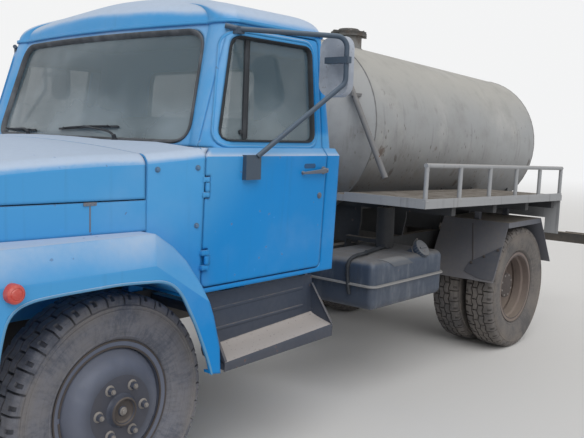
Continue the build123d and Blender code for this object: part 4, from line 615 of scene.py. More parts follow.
# Old paints: colour, bleached colour, then the shares of bleaching, dust, streaks and chips, the roughness,
# the dents' strength and the share of dust splashed up from the road
WEATHERED = {
    "chassis_paint": ((0.040, 0.042, 0.046), (0.12, 0.12, 0.12), 0.5, 0.65, 0.2, 1.0, 0.66, 0.5, 0.55),
    "bumper_paint": ((0.30, 0.32, 0.34), (0.45, 0.46, 0.46), 0.6, 0.40, 0.35, 1.0, 0.50, 0.5, 0.5),
    "step_paint": ((0.034, 0.048, 0.078), (0.16, 0.16, 0.17), 0.4, 0.95, 0.25, 0.9, 0.60, 0.5, 0.15),
    "fuel_tank_paint": ((0.042, 0.062, 0.100), (0.16, 0.17, 0.18), 0.45, 0.30, 0.35, 1.0, 0.42, 0.6, 0.15),
    "platform_paint": ("deck", (0.42, 0.40, 0.36), 0.5, 0.62, 0.45, 1.0, 0.62, 0.5),
    "railing_paint": ("deck", (0.50, 0.50, 0.50), 0.5, 0.25, 0.40, 1.0, 0.55, 0.4),
    "mudguard_paint": ((0.138, 0.144, 0.170), (0.330, 0.315, 0.300), 0.8, 0.60, 0.35, 0.9, 0.62, 0.9, 0.15),
    "pipe_paint": ((0.17, 0.17, 0.175), (0.34, 0.33, 0.31), 0.6, 0.35, 0.5, 1.0, 0.62, 0.5),
    "wheel_paint": ((0.112, 0.136, 0.200), (0.215, 0.238, 0.300), 0.4, 0.12, 0.25, 0.9, 0.42, 0.7, 0.12),
    "rear_wheel_paint": ((0.192, 0.152, 0.142), (0.25, 0.21, 0.19), 0.4, 0.30, 0.45, 1.0, 0.72, 0.6, 0.25),
    "handle_metal": ((0.110, 0.130, 0.170), (0.400, 0.430, 0.470), 0.6, 0.10, 0.2, 0.6, 0.34, 0.3),
    # Dark blue of the handles' hollow: painted shade
    "shaded_paint": ((0.014, 0.090, 0.220), (0.020, 0.120, 0.280), 0.2, 0.05, 0.2, 0.0, 0.55, 0.1),
    "worn_edge": ((0.100, 0.300, 0.520), "cab_faded", 0.9, 0.45, 0.2, 1.0, 0.5, 0.4),
    "rusty_seam": ((0.170, 0.190, 0.230), (0.260, 0.150, 0.110), 0.9, 0.2, 0.5, 1.0, 0.6, 0.4),
    "panel_bolt": ((0.085, 0.190, 0.330), (0.200, 0.230, 0.270), 0.6, 0.3, 0.5, 1.0, 0.5, 0.3),
    "rusty_ring": ((0.060, 0.051, 0.050), (0.150, 0.130, 0.120), 0.6, 0.15, 0.4, 1.0, 0.55, 0.5, 0.05),
    "hub_paint": ((0.046, 0.052, 0.076), (0.120, 0.110, 0.110), 0.4, 0.10, 0.4, 1.0, 0.46, 0.6, 0.05),
    "stud_steel": ((0.230, 0.215, 0.205), (0.340, 0.310, 0.280), 0.7, 0.2, 0.5, 1.0, 0.45, 0.4),
    "weld_seam": ((0.200, 0.200, 0.200), (0.300, 0.295, 0.285), 0.8, 0.15, 0.4, 1.0, 0.60, 0.6),
    "flap_rubber": ((0.070, 0.078, 0.102), (0.150, 0.155, 0.170), 0.8, 0.35, 0.5, 0.8, 0.60, 0.7, 0.1),
    "patch_metal": ((0.095, 0.108, 0.130), (0.210, 0.225, 0.245), 0.7, 0.25, 0.4, 0.9, 0.46, 0.7),
    "grille_plastic": ((0.030, 0.032, 0.036), (0.13, 0.14, 0.15), 0.5, 0.35, 0.2, 0.3, 0.48, 0.3, 0.2),
}
LAST_COATS = {
    "step_paint": trodden_steps,
    "fuel_tank_paint": run_down_tank,
    "platform_paint": trodden_deck,
    "wheel_paint": dark_front_middle,
    "rear_wheel_paint": oily_rear_middle,
}
# Bare steels: colour, then the shares of rust and oil, and how metallic it is
IRONS = {
    "axle_iron": ((0.050, 0.048, 0.046), 0.7, 0.4, 0.1),
    "spring_steel": ((0.060, 0.054, 0.050), 0.9, 0.2, 0.15),
    "engine_iron": ((0.075, 0.085, 0.085), 0.35, 0.8, 0.1),
    "exhaust_steel": ((0.130, 0.080, 0.055), 1.0, 0.1, 0.2),
    "dull_bright": ((0.42, 0.43, 0.45), 0.25, 0.15, 0.75),
}
RECIPES = {
    function.__name__: function
    for function in (
        cab_paint, mirror_paint, tank_paint, hatch_steel, rubber_seal, black_trim, dash_plastic, seat_cover,
        clear_glass, mirror_glass, lamp_lens, red_lens, tyre_rubber, rear_tyre_rubber,
    )
}


class Shape:
    """A mesh under way: blocks of points with a value each, and the faces that join them."""

    def __init__(self):
        self.points, self.faces, self.values = [], [], []
        self.count = 0

    def add(self, points, faces, values=None):
        """Add a block of points with its own faces, and a value for each point where one is wanted."""
        flat = np.asarray(points, float).reshape(-1, 3)
        if isinstance(faces, np.ndarray):
            self.faces.extend((faces + self.count).tolist())
        else:
            self.faces.extend([[index + self.count for index in face] for face in faces])
        self.points.append(flat)
        self.values.append(np.zeros(len(flat)) if values is None else np.asarray(values, float).ravel())
        self.count += len(flat)
        return self

    def piece(self, name, finish, body, slot, bevel=0.0, sharp=35.0, stands_for=(), attribute=None):
        """Make the object, join double points, turn every face outward, and let it ride on its body."""
        mesh = bpy.data.meshes.new(name)
        mesh.from_pydata(np.concatenate(self.points).tolist(), [], self.faces)
        if attribute:
            layer = mesh.attributes.new(attribute, "FLOAT", "POINT")
            layer.data.foreach_set("value", np.concatenate(self.values).astype(np.float32))
        work = bmesh.new()
        work.from_mesh(mesh)
        bmesh.ops.remove_doubles(work, verts=work.verts, dist=1e-6)
        bmesh.ops.recalc_face_normals(work, faces=work.faces)
        work.to_mesh(mesh)
        work.free()
        mesh.shade_smooth()
        mesh.set_sharp_from_angle(angle=math.radians(sharp))
        mesh.materials.append(finish_for(finish))
        made = bpy.data.objects.new(name, mesh)
        bpy.context.scene.collection.objects.link(made)
        if bevel:
            rounding = made.modifiers.new("Rounded edges", "BEVEL")
            rounding.width = bevel
            rounding.segments = 2
            rounding.limit_method = "ANGLE"
            rounding.harden_normals = True
        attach(made, body)
        if stands_for:
            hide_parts(*stands_for)
        return made


def grid_faces(rows, columns, rows_close=False, columns_close=True):
    """Quads between neighbours in a grid of points. A side that closes joins its last line to its first."""
    row = np.arange(rows if rows_close else rows - 1)[:, None]
    column = np.arange(columns if columns_close else columns - 1)[None, :]
    next_row = (row + 1) % rows
    next_column = (column + 1) % columns
    corners = [row * columns + column, row * columns + next_column,
               next_row * columns + next_column, next_row * columns + column]
    return np.stack(np.broadcast_arrays(*corners), -1).reshape(-1, 4)


def lofted(rings):
    """Rings of points joined one after another, with both ends closed."""
    rings = np.asarray(rings, float)
    first = list(range(rings.shape[1]))
    last = [(len(rings) - 1) * len(first) + index for index in first]
    return rings, grid_faces(len(rings), len(first)).tolist() + [first[::-1], last]


def carried(path, across, up, outline, closed=False):
    """Outline carried along a path: point = path + outline's first x across + outline's second x up."""
    path = np.asarray(path, float)
    outline = np.asarray(outline, float)
    across = np.broadcast_to(across, path.shape)
    up = np.broadcast_to(up, path.shape)
    points = path[:, None] + outline[None, :, :1] * across[:, None] + outline[None, :, 1:] * up[:, None]
    if closed:
        return points, grid_faces(len(path), len(outline), rows_close=True)
    return lofted(points)


def directions(path, closed=False):
    """Unit tangents of a path, from the points on either side."""
    path = np.asarray(path, float)
    if closed:
        step = np.roll(path, -1, 0) - np.roll(path, 1, 0)
    else:
        step = np.gradient(path, axis=0)
    return step / np.linalg.norm(step, axis=1, keepdims=True)


def between(values, ends):
    """Which of the values lie between two ends."""
    return (values > ends[0]) & (values < ends[1])


def unit(vectors):
    """Vectors of length one in the same directions."""
    vectors = np.asarray(vectors, float)
    return vectors / np.linalg.norm(vectors, axis=-1, keepdims=True)


def round_outline(radius, count=12):
    """Circle: radius x (cos t, sin t)."""
    turn = np.arange(count) * 2 * np.pi / count
    return radius * np.stack([np.cos(turn), np.sin(turn)], -1)


def block_outline(width, height, corner, count=3):
    """Rectangle with quarter-circle corners, middle at the origin."""
    turn = np.linspace(0, np.pi / 2, count)
    quarter = corner * np.stack([np.cos(turn), np.sin(turn)], -1)
    corners = []
    for quarter_turn, (sign_x, sign_y) in enumerate([(1, 1), (-1, 1), (-1, -1), (1, -1)]):
        angle = quarter_turn * np.pi / 2
        spin = np.array([[np.cos(angle), -np.sin(angle)], [np.sin(angle), np.cos(angle)]])
        centre = np.array([sign_x * (width / 2 - corner), sign_y * (height / 2 - corner)])
        corners.append(centre + quarter @ spin.T)
    return np.concatenate(corners)


def tube(path, radius, count=12, hint=UP, closed=False):
    """Round bar along a path."""
    tangent = directions(path, closed)
    across = unit(np.cross(tangent, hint))
    return carried(path, across, np.cross(across, tangent), round_outline(radius, count), closed)


def turned(outline, centre, axis, count=48):
    """Outline of (along, radius) turned about an axis; ends that lie on the axis close to a pole."""
    outline = np.asarray(outline, float)
    axis = unit(axis)
    side = unit(np.cross(axis, (0.31, 0.17, 0.93)))
    other = np.cross(axis, side)
    turn = np.arange(count) * 2 * np.pi / count
    spokes = np.cos(turn)[:, None] * side + np.sin(turn)[:, None] * other
    points = np.asarray(centre, float) + outline[:, None, :1] * axis + outline[:, None, 1:] * spokes[None]
    return points, grid_faces(len(outline), count)


def smooth_path(corners, radius, count=6, closed=False):
    """Straight runs joined by arcs: each corner becomes (1-t)^2 A + 2t(1-t) C + t^2 B of one reach."""
    corners = np.asarray(corners, float)
    before = np.roll(corners, 1, 0)
    after = np.roll(corners, -1, 0)
    reach_in = np.minimum(radius, 0.49 * np.linalg.norm(before - corners, axis=1, keepdims=True))
    reach_out = np.minimum(radius, 0.49 * np.linalg.norm(after - corners, axis=1, keepdims=True))
    start = corners + reach_in * unit(before - corners)
    end = corners + reach_out * unit(after - corners)
    t = np.linspace(0, 1, count)[None, :, None]
    curves = (1 - t) ** 2 * start[:, None] + 2 * t * (1 - t) * corners[:, None] + t**2 * end[:, None]
    if closed:
        return curves.reshape(-1, corners.shape[1])
    inner = curves[1:-1].reshape(-1, corners.shape[1])
    return np.concatenate([corners[:1], inner, corners[-1:]])


def denser(path, spacing, closed=False):
    """Points at an even spacing along a path of straight runs."""
    path = np.asarray(path, float)
    whole = np.concatenate([path, path[:1]]) if closed else path
    reach = np.concatenate([[0.0], np.cumsum(np.linalg.norm(np.diff(whole, axis=0), axis=1))])
    count = max(int(reach[-1] / spacing), 2)
    at = np.linspace(0, reach[-1], count + 1)
    if closed:
        at = at[:-1]
    return np.stack([np.interp(at, reach, whole[:, axis]) for axis in range(path.shape[1])], -1)


def hexagons(centres, axis, radius, height, shape, twist=0.0):
    """Hexagon bolt heads with a chamfered face, standing on their centres along an axis."""
    outline = [(0.0, 0.0), (0.0, radius), (0.75 * height, radius), (height, 0.84 * radius), (height, 0.0)]
    for spot, centre in enumerate(centres):
        points, faces = turned(outline, (0.0, 0.0, 0.0), axis, 6)
        spin = np.array(Matrix.Rotation(twist + 0.4 * spot, 3, Vector(axis)))
        shape.add(points.reshape(-1, 3) @ spin.T + np.asarray(centre), faces)


def rounded_head(centres, axis, radius, height, shape, count=14):
    """Domed rivet or screw heads, standing on their centres along an axis."""
    rise = np.linspace(0, np.pi / 2, 5)
    outline = np.concatenate([[[0.0, 0.0]], np.stack([height * np.sin(rise), radius * np.cos(rise)], -1)])
    for centre in centres:
        shape.add(*turned(outline, centre, axis, count))


def cab_ring(height):
    """Cab outline at a height, between the belt's and the gutter's: low + share x (high - low)."""
    low = np.array(BELT_RING)
    high = np.array(GUTTER_RING)
    share = (np.asarray(height, float)[..., None] - low[0]) / (high[0] - low[0])
    return np.moveaxis(low + share * (high - low), -1, 0)


def windscreen_x(y, z):
    """Length of the cab's bowed front: the circle through both pillars and the middle at each height."""
    _, _, _, pillar_x, pillar_y, middle = cab_ring(z)
    bow = middle - pillar_x
    radius = (pillar_y**2 + bow**2) / (2 * bow)
    return middle - radius + np.sqrt(radius**2 - np.asarray(y) ** 2)


def door_y(x, z):
    """Half width of the cab's side: flat, then the arc round to the front pillar."""
    _, half, end, pillar_x, pillar_y, _ = cab_ring(z)
    bulge_x = (end + pillar_x) / 2 + (half - pillar_y) * 0.20
    bulge_y = (half + pillar_y) / 2 + (pillar_x - end) * 0.20
    a = 2 * (bulge_x - end)
    b = 2 * (bulge_y - half)
    c = 2 * (pillar_x - end)
    d = 2 * (pillar_y - half)
    e = bulge_x**2 + bulge_y**2 - end**2 - half**2
    f = pillar_x**2 + pillar_y**2 - end**2 - half**2
    middle_x = (e * d - b * f) / (a * d - b * c)
    middle_y = (a * f - e * c) / (a * d - b * c)
    radius = np.hypot(end - middle_x, half - middle_y)
    beyond = np.maximum(np.asarray(x) - end, 0.0)
    arc = middle_y + np.sqrt(np.maximum(radius**2 - (end + beyond - middle_x) ** 2, 0.0))
    return np.where(beyond > 0, arc, half)


def on_door(flat, side):
    """Points of a door's outer face at the given lengths and heights."""
    return np.stack([flat[:, 0], side * door_y(flat[:, 0], flat[:, 1]), flat[:, 1]], -1)


def seal_outline(width):
    """Window rubber: a rounded lip over the panel, sloping in to the glass."""
    return np.array([
        (-0.30, 0.0005), (-0.28, 0.0060), (-0.12, 0.0095), (0.10, 0.0080), (0.40, 0.0010),
        (0.62, -0.0090), (0.70, -0.0150), (0.10, -0.0155), (0.02, -0.0040),
    ]) * (width, 1.0)


def window_seal(outline, corner, surface, width):
    """Seal along a rounded outline on a curved panel, whose points the surface function gives."""
    flat = denser(smooth_path(outline, corner * 1.3, 9, closed=True), 0.02, closed=True)
    path = surface(flat)
    step = 0.002
    tangent = directions(path, closed=True)
    middle = flat.mean(0)
    inward_flat = unit(middle - flat) * step
    inward = surface(flat + inward_flat) - path
    inward = unit(inward - (inward * tangent).sum(1, keepdims=True) * tangent)
    normal = np.cross(tangent, inward)
    outside = path - np.array([1.2, 0.0, 1.5])
    flip = np.sign((normal * outside).sum(1).mean())
    return carried(path, inward, normal * flip, seal_outline(width), closed=True)


class TANKER_OT_studio(bpy.types.Operator):
    """Add the floor, the even sky, the soft sun and the camera at the photograph's viewing angle"""

    bl_idname = "tanker.studio"
    bl_label = "Studio"

    # Camera of the photograph: place in metres, heading, tilt and roll in degrees
    place = (4.0126, 3.4459, 1.6475)
    heading = 40.835
    tilt = 6.692
    roll = -1.768
    sensor_width = 36.0
    # Soft sun: where it stands, and how many degrees wide it is
    sun_from = (0.55, 0.72, 0.95)
    sun_width = 50.0
    # Floor: its radius, and the distances over which it fades into the backdrop
    floor_radius = 70.0
    floor_fade = (9.0, 30.0)

    def execute(self, context):
        set_up = context.scene.tanker_studio
        yaw, pitch, roll = (math.radians(angle) for angle in (self.heading, self.tilt, self.roll))
        level = math.cos(pitch)
        ahead = Vector((-math.cos(yaw) * level, -math.sin(yaw) * level, -math.sin(pitch)))
        right = ahead.cross(Vector(UP)).normalized()
        down = ahead.cross(right)
        turned_right = math.cos(roll) * right + math.sin(roll) * down
        turned_down = -math.sin(roll) * right + math.cos(roll) * down
        lens = bpy.data.cameras.new("photograph_camera")
        lens.lens = set_up.lens
        lens.sensor_width = self.sensor_width
        lens.sensor_fit = "HORIZONTAL"
        lens.clip_end = 300.0
        turn = Matrix((turned_right, -turned_down, -ahead)).transposed().to_4x4()
        context.scene.camera = self.put("photograph_camera", lens, Matrix.Translation(self.place) @ turn)
        self.add_floor(set_up)
        self.add_sky(context, set_up)
        lamp = bpy.data.lights.new("soft_sun", "SUN")
        lamp.energy = set_up.sun
        lamp.angle = math.radians(self.sun_width)
        self.put("soft_sun", lamp, Vector(self.sun_from).to_track_quat("Z", "Y").to_matrix().to_4x4())
        context.scene.view_settings.view_transform = "Standard"
        return {"FINISHED"}

    def put(self, name, data, matrix):
        """Put something into the scene, and return it."""
        made = bpy.data.objects.new(name, data)
        made.matrix_world = matrix
        bpy.context.scene.collection.objects.link(made)
        return made

    def add_floor(self, set_up):
        """A wide disc that fades into the backdrop far from the truck."""
        mesh = bpy.data.meshes.new("studio_floor")
        count = 64
        turn = np.arange(count) * 2 * np.pi / count
        rim = self.floor_radius * np.stack([np.cos(turn), np.sin(turn), 0 * turn], -1)
        mesh.from_pydata(rim.tolist(), [], [list(range(count))])
        made = Finish("studio_floor")
        distance = made.node("ShaderNodeVectorMath", {"operation": "LENGTH"}, {0: made.place}, output="Value")
        cloud = made.noise(0.7, 4.0)
        made.surface(made.blend(cloud * 0.10, set_up.floor, [0.93 * c for c in set_up.floor]), 0.9)
        glow = made.node("ShaderNodeEmission", {}, {"Color": set_up.backdrop, "Strength": 1.0})
        fade = made.ease(distance, *self.floor_fade)
        mix = made.tree.nodes.new("ShaderNodeMixShader")
        made.feed(mix.inputs[0], fade)
        made.tree.links.new(made.shader.outputs[0], mix.inputs[1])
        made.tree.links.new(glow.socket, mix.inputs[2])
        made.tree.links.new(mix.outputs[0], made.end.inputs["Surface"])
        mesh.materials.append(made.material)
        floor = self.put("studio_floor", mesh, Matrix())

    def add_sky(self, context, set_up):
        """Even light from all sides; the camera, mirrors and glass see the backdrop's colour instead."""
        world = bpy.data.worlds.new("studio_sky")
        world.use_nodes = True
        nodes, links = world.node_tree.nodes, world.node_tree.links
        nodes.clear()
        path = nodes.new("ShaderNodeLightPath")
        seen = path.outputs["Is Camera Ray"]
        for ray in ("Is Glossy Ray", "Is Transmission Ray"):
            either = nodes.new("ShaderNodeMath")
            either.operation = "MAXIMUM"
            links.new(seen, either.inputs[0])
            links.new(path.outputs[ray], either.inputs[1])
            seen = either.outputs[0]
        light = nodes.new("ShaderNodeBackground")
        light.inputs["Strength"].default_value = set_up.sky
        backdrop = nodes.new("ShaderNodeBackground")
        backdrop.inputs["Color"].default_value = (*set_up.backdrop, 1.0)
        mix = nodes.new("ShaderNodeMixShader")
        links.new(seen, mix.inputs[0])
        links.new(light.outputs[0], mix.inputs[1])
        links.new(backdrop.outputs[0], mix.inputs[2])
        end = nodes.new("ShaderNodeOutputWorld")
        links.new(mix.outputs[0], end.inputs["Surface"])
        context.scene.world = world


class TANKER_OT_finishes(bpy.types.Operator):
    """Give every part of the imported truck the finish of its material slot"""

    bl_idname = "tanker.finishes"
    bl_label = "Finishes"

    # Parts whose finish differs from the rest of their slot
    own_finish = {
        "wheels_rear_left": "rear_wheel_paint", "wheels_rear_right": "rear_wheel_paint",
        "vacuum_gear": "chassis_paint",
    }

    def execute(self, context):
        slots = {part["node"]: part["material_slot"] for part in frame["record"]["subparts"]}
        for name, part in frame["nodes"].items():
            finish = finish_for(self.own_finish.get(name, slots[name]))
            if not part.data.materials:
                part.data.materials.append(finish)
            for place in range(len(part.data.materials)):
                part.data.materials[place] = finish
        return {"FINISHED"}


class TANKER_OT_tyres(bpy.types.Operator):
    """Replace the plain tyres with treaded ones"""

    bl_idname = "tanker.tyres"
    bl_label = "Tyres"

    # Half section from the crown to the bead: across, radius, and how deep the shoulder's slots reach
    half_section = np.array([
        (0.0000, 0.4800, 1.0), (0.0035, 0.4800, 1.0), (0.0045, 0.4800, 1.0), (0.0210, 0.4800, 1.0),
        (0.0380, 0.4798, 1.0), (0.0390, 0.4798, 1.0), (0.0480, 0.4796, 1.0), (0.0490, 0.4795, 1.0),
        (0.0620, 0.4788, 1.0), (0.0760, 0.4772, 1.0), (0.0775, 0.4770, 1.0), (0.0920, 0.4735, 1.0),
        (0.0935, 0.4728, 1.0), (0.1010, 0.4670, 1.0), (0.1065, 0.4560, 1.0), (0.1100, 0.4440, 0.8),
        (0.1115, 0.4370, 0.0), (0.1160, 0.4350, 0.0), (0.1178, 0.4325, 0.0), (0.1178, 0.4290, 0.0),
        (0.1150, 0.4270, 0.0), (0.1146, 0.4190, 0.0), (0.1168, 0.4175, 0.0), (0.1168, 0.4145, 0.0),
        (0.1150, 0.4130, 0.0), (0.1158, 0.4050, 0.0),
        (0.1158, 0.3760, 0.0), (0.1120, 0.3450, 0.0), (0.1050, 0.3190, 0.0), (0.0985, 0.3060, 0.0),
        (0.0990, 0.3010, 0.0), (0.0930, 0.2930, 0.0), (0.0850, 0.2865, 0.0), (0.0770, 0.2835, 0.0),
        (0.0705, 0.2590, 0.0),
    ])
    # Places within one pitch, close together at the slots' walls
    pitch_places = np.array([
        0.00, 0.02, 0.10, 0.12, 0.31, 0.33, 0.40, 0.42, 0.50, 0.52, 0.60, 0.62, 0.80, 0.82,
    ])
    # Zigzag of the grooves: its swing, where it ends and over what width it fades
    zigzag, zigzag_end, zigzag_fade = 0.006, 0.094, 0.040
    # Across from the tread's middle: half the centre groove, and the walls of the ring groove and the notches
    centre_groove = 0.0040
    ring_groove = (0.0385, 0.0485)
    notch = (0.0765, 0.1030)
    # Where the slots start and end within one pitch
    centre_slot, shoulder_slot, notch_slot = (0.01, 0.11), (0.32, 0.41), (0.61, 0.81)
    # Radii of the crown's foot and of the slots' foot
    crown_foot, slot_foot = 0.45, 0.4355

    def tyre(self, shape, axle_x, middle_y, turn):
        """Radius = section - depth x groove(angle, across), the grooves' edges swung by a triangle wave."""
        half = self.half_section
        section = np.concatenate([half[:0:-1] * (-1, 1, 1), half])
        pitches = sizes().tread_pitches
        phase = (np.arange(pitches)[:, None] + self.pitch_places[None]).ravel()
        within = phase % 1.0
        angle = (phase / pitches * 2 * np.pi + turn)[:, None]
        across, radius, reach = (section[None, :, column] for column in range(3))
        swing = self.zigzag * (4 * np.abs(within - 0.5) - 1)[:, None]
        place = np.abs(across)
        crown = np.clip((self.zigzag_end - place) / self.zigzag_fade, 0.0, 1.0) * (radius > self.crown_foot)
        inner, outer = self.ring_groove
        circling = (place < self.centre_groove) | between(place, self.ring_groove)
        slot = within[:, None]
        own = np.where(across > 0, slot, (slot + 0.5) % 1.0)
        centre_slots = (place <= inner) & between(own, self.centre_slot)
        shoulder_slots = (place > outer) & between(own, self.shoulder_slot)
        notches = between(place, self.notch) & between(own, self.notch_slot)
        full = np.where(circling | centre_slots | shoulder_slots, 1.0, np.where(notches, 0.75, 0.0))
        groove = full * reach * (radius > self.slot_foot)
        middle = radius - sizes().tread_depth * groove
        y = middle_y + across + swing * crown
        points = np.stack([
            axle_x + middle * np.cos(angle),
            np.broadcast_to(y, middle.shape),
            AXLE_Z + middle * np.sin(angle),
        ], -1)
        shape.add(points, grid_faces(len(phase), len(section[:, 0]), rows_close=True), groove)

    def execute(self, context):
        for label, side in SIDES.items():
            front = Shape()
            self.tyre(front, FRONT_AXLE_X, side * FRONT_WHEEL_Y, 0.3)
            front.piece("tread_front_" + label, "tyre_rubber", "front_" + label + "_wheel", "tyre_rubber",
                        stands_for=["tyre_front_" + label], attribute="groove", sharp=28.0)
            rear = Shape()
            for step in (-1.0, 1.0):
                self.tyre(rear, REAR_AXLE_X, side * (REAR_WHEEL_Y + step * DISC_OFFSET), 0.5 + 0.04 * step)
            rear.piece("treads_rear_" + label, "rear_tyre_rubber", "rear_" + label + "_wheels", "tyre_rubber",
                       stands_for=["tyres_rear_" + label], attribute="groove", sharp=28.0)
        return {"FINISHED"}


class TANKER_OT_window_seals(bpy.types.Operator):
    """Set the rubber seals round the windscreen, the rear window and the door windows"""

    bl_idname = "tanker.window_seals"
    bl_label = "Window seals"

    # Length of the rear window's wall at the belt, and how far it leans forward up to the gutter
    rear_wall_x, rear_lean = 0.918, 0.022
    door_share = 0.55

    def on_front(self, flat):
        """Points of the bowed front at the given places across and heights."""
        return np.stack([windscreen_x(flat[:, 0], flat[:, 1]), flat[:, 0], flat[:, 1]], -1)

    def on_rear(self, flat):
        """Points of the cab's rear wall at the given places across and heights."""
        share = (flat[:, 1] - BELT_RING[0]) / (GUTTER_RING[0] - BELT_RING[0])
        return np.stack([self.rear_wall_x - self.rear_lean * share, flat[:, 0], flat[:, 1]], -1)

    def execute(self, context):
        width = sizes().seal_width
        for name, outline, corner, surface in (
            ("seal_windscreen", WINDSCREEN, 0.078, self.on_front),
            ("seal_rear_window", REAR_WINDOW, 0.060, self.on_rear),
        ):
            seal = Shape().add(*window_seal(outline, corner, surface, width))
            seal.piece(name, "rubber_seal", "truck", "grille_plastic", sharp=60.0)
        for label, side in SIDES.items():
            band = window_seal(DOOR_WINDOW, 0.040, lambda flat: on_door(flat, side), width * self.door_share)
            seal = Shape().add(*band)
            seal.piece("seal_door_" + label, "black_trim", label + "_door", "grille_plastic", sharp=60.0)
        return {"FINISHED"}


def meet(node, start, direction):
    """Where a straight line first meets a CAD part, and which way the surface faces there."""
    part = frame["nodes"][node]
    inverse = part.matrix_world.inverted()
    found, place, normal, _ = part.ray_cast(inverse @ Vector(start), inverse.to_3x3() @ Vector(direction))
    if not found:
        raise RuntimeError("No surface of " + node + " is met from " + str(start))
    normal = part.matrix_world.to_3x3() @ normal
    return np.array(part.matrix_world @ place), np.array(normal.normalized())


def beside(node, x, z, side):
    """Where a level line from outside meets a part of that side, and which way the surface faces there."""
    return meet(node, (x, side * BESIDE, z), (0.0, -side, 0.0))


def plate(outline, depth, origin, across, up, shape, crown=0.0):
    """Flat plate: outline at the back, eased edge, and a front that rises by the crown in the middle."""
    outline = np.asarray(outline, float)
    across, up = unit(across), unit(up)
    out = np.cross(across, up)
    middle = outline.mean(0)
    rings = [(1.0, 0.0), (1.0, 0.75 * depth), (0.985, depth)]
    rings += [(share, depth + crown * (1 - share**2)) for share in (0.75, 0.5, 0.25)]
    points = []
    for share, rise in rings:
        ring = middle + (outline - middle) * share
        points.append(np.asarray(origin) + ring[:, :1] * across + ring[:, 1:] * up + rise * out)
    shape.add(*lofted(points))


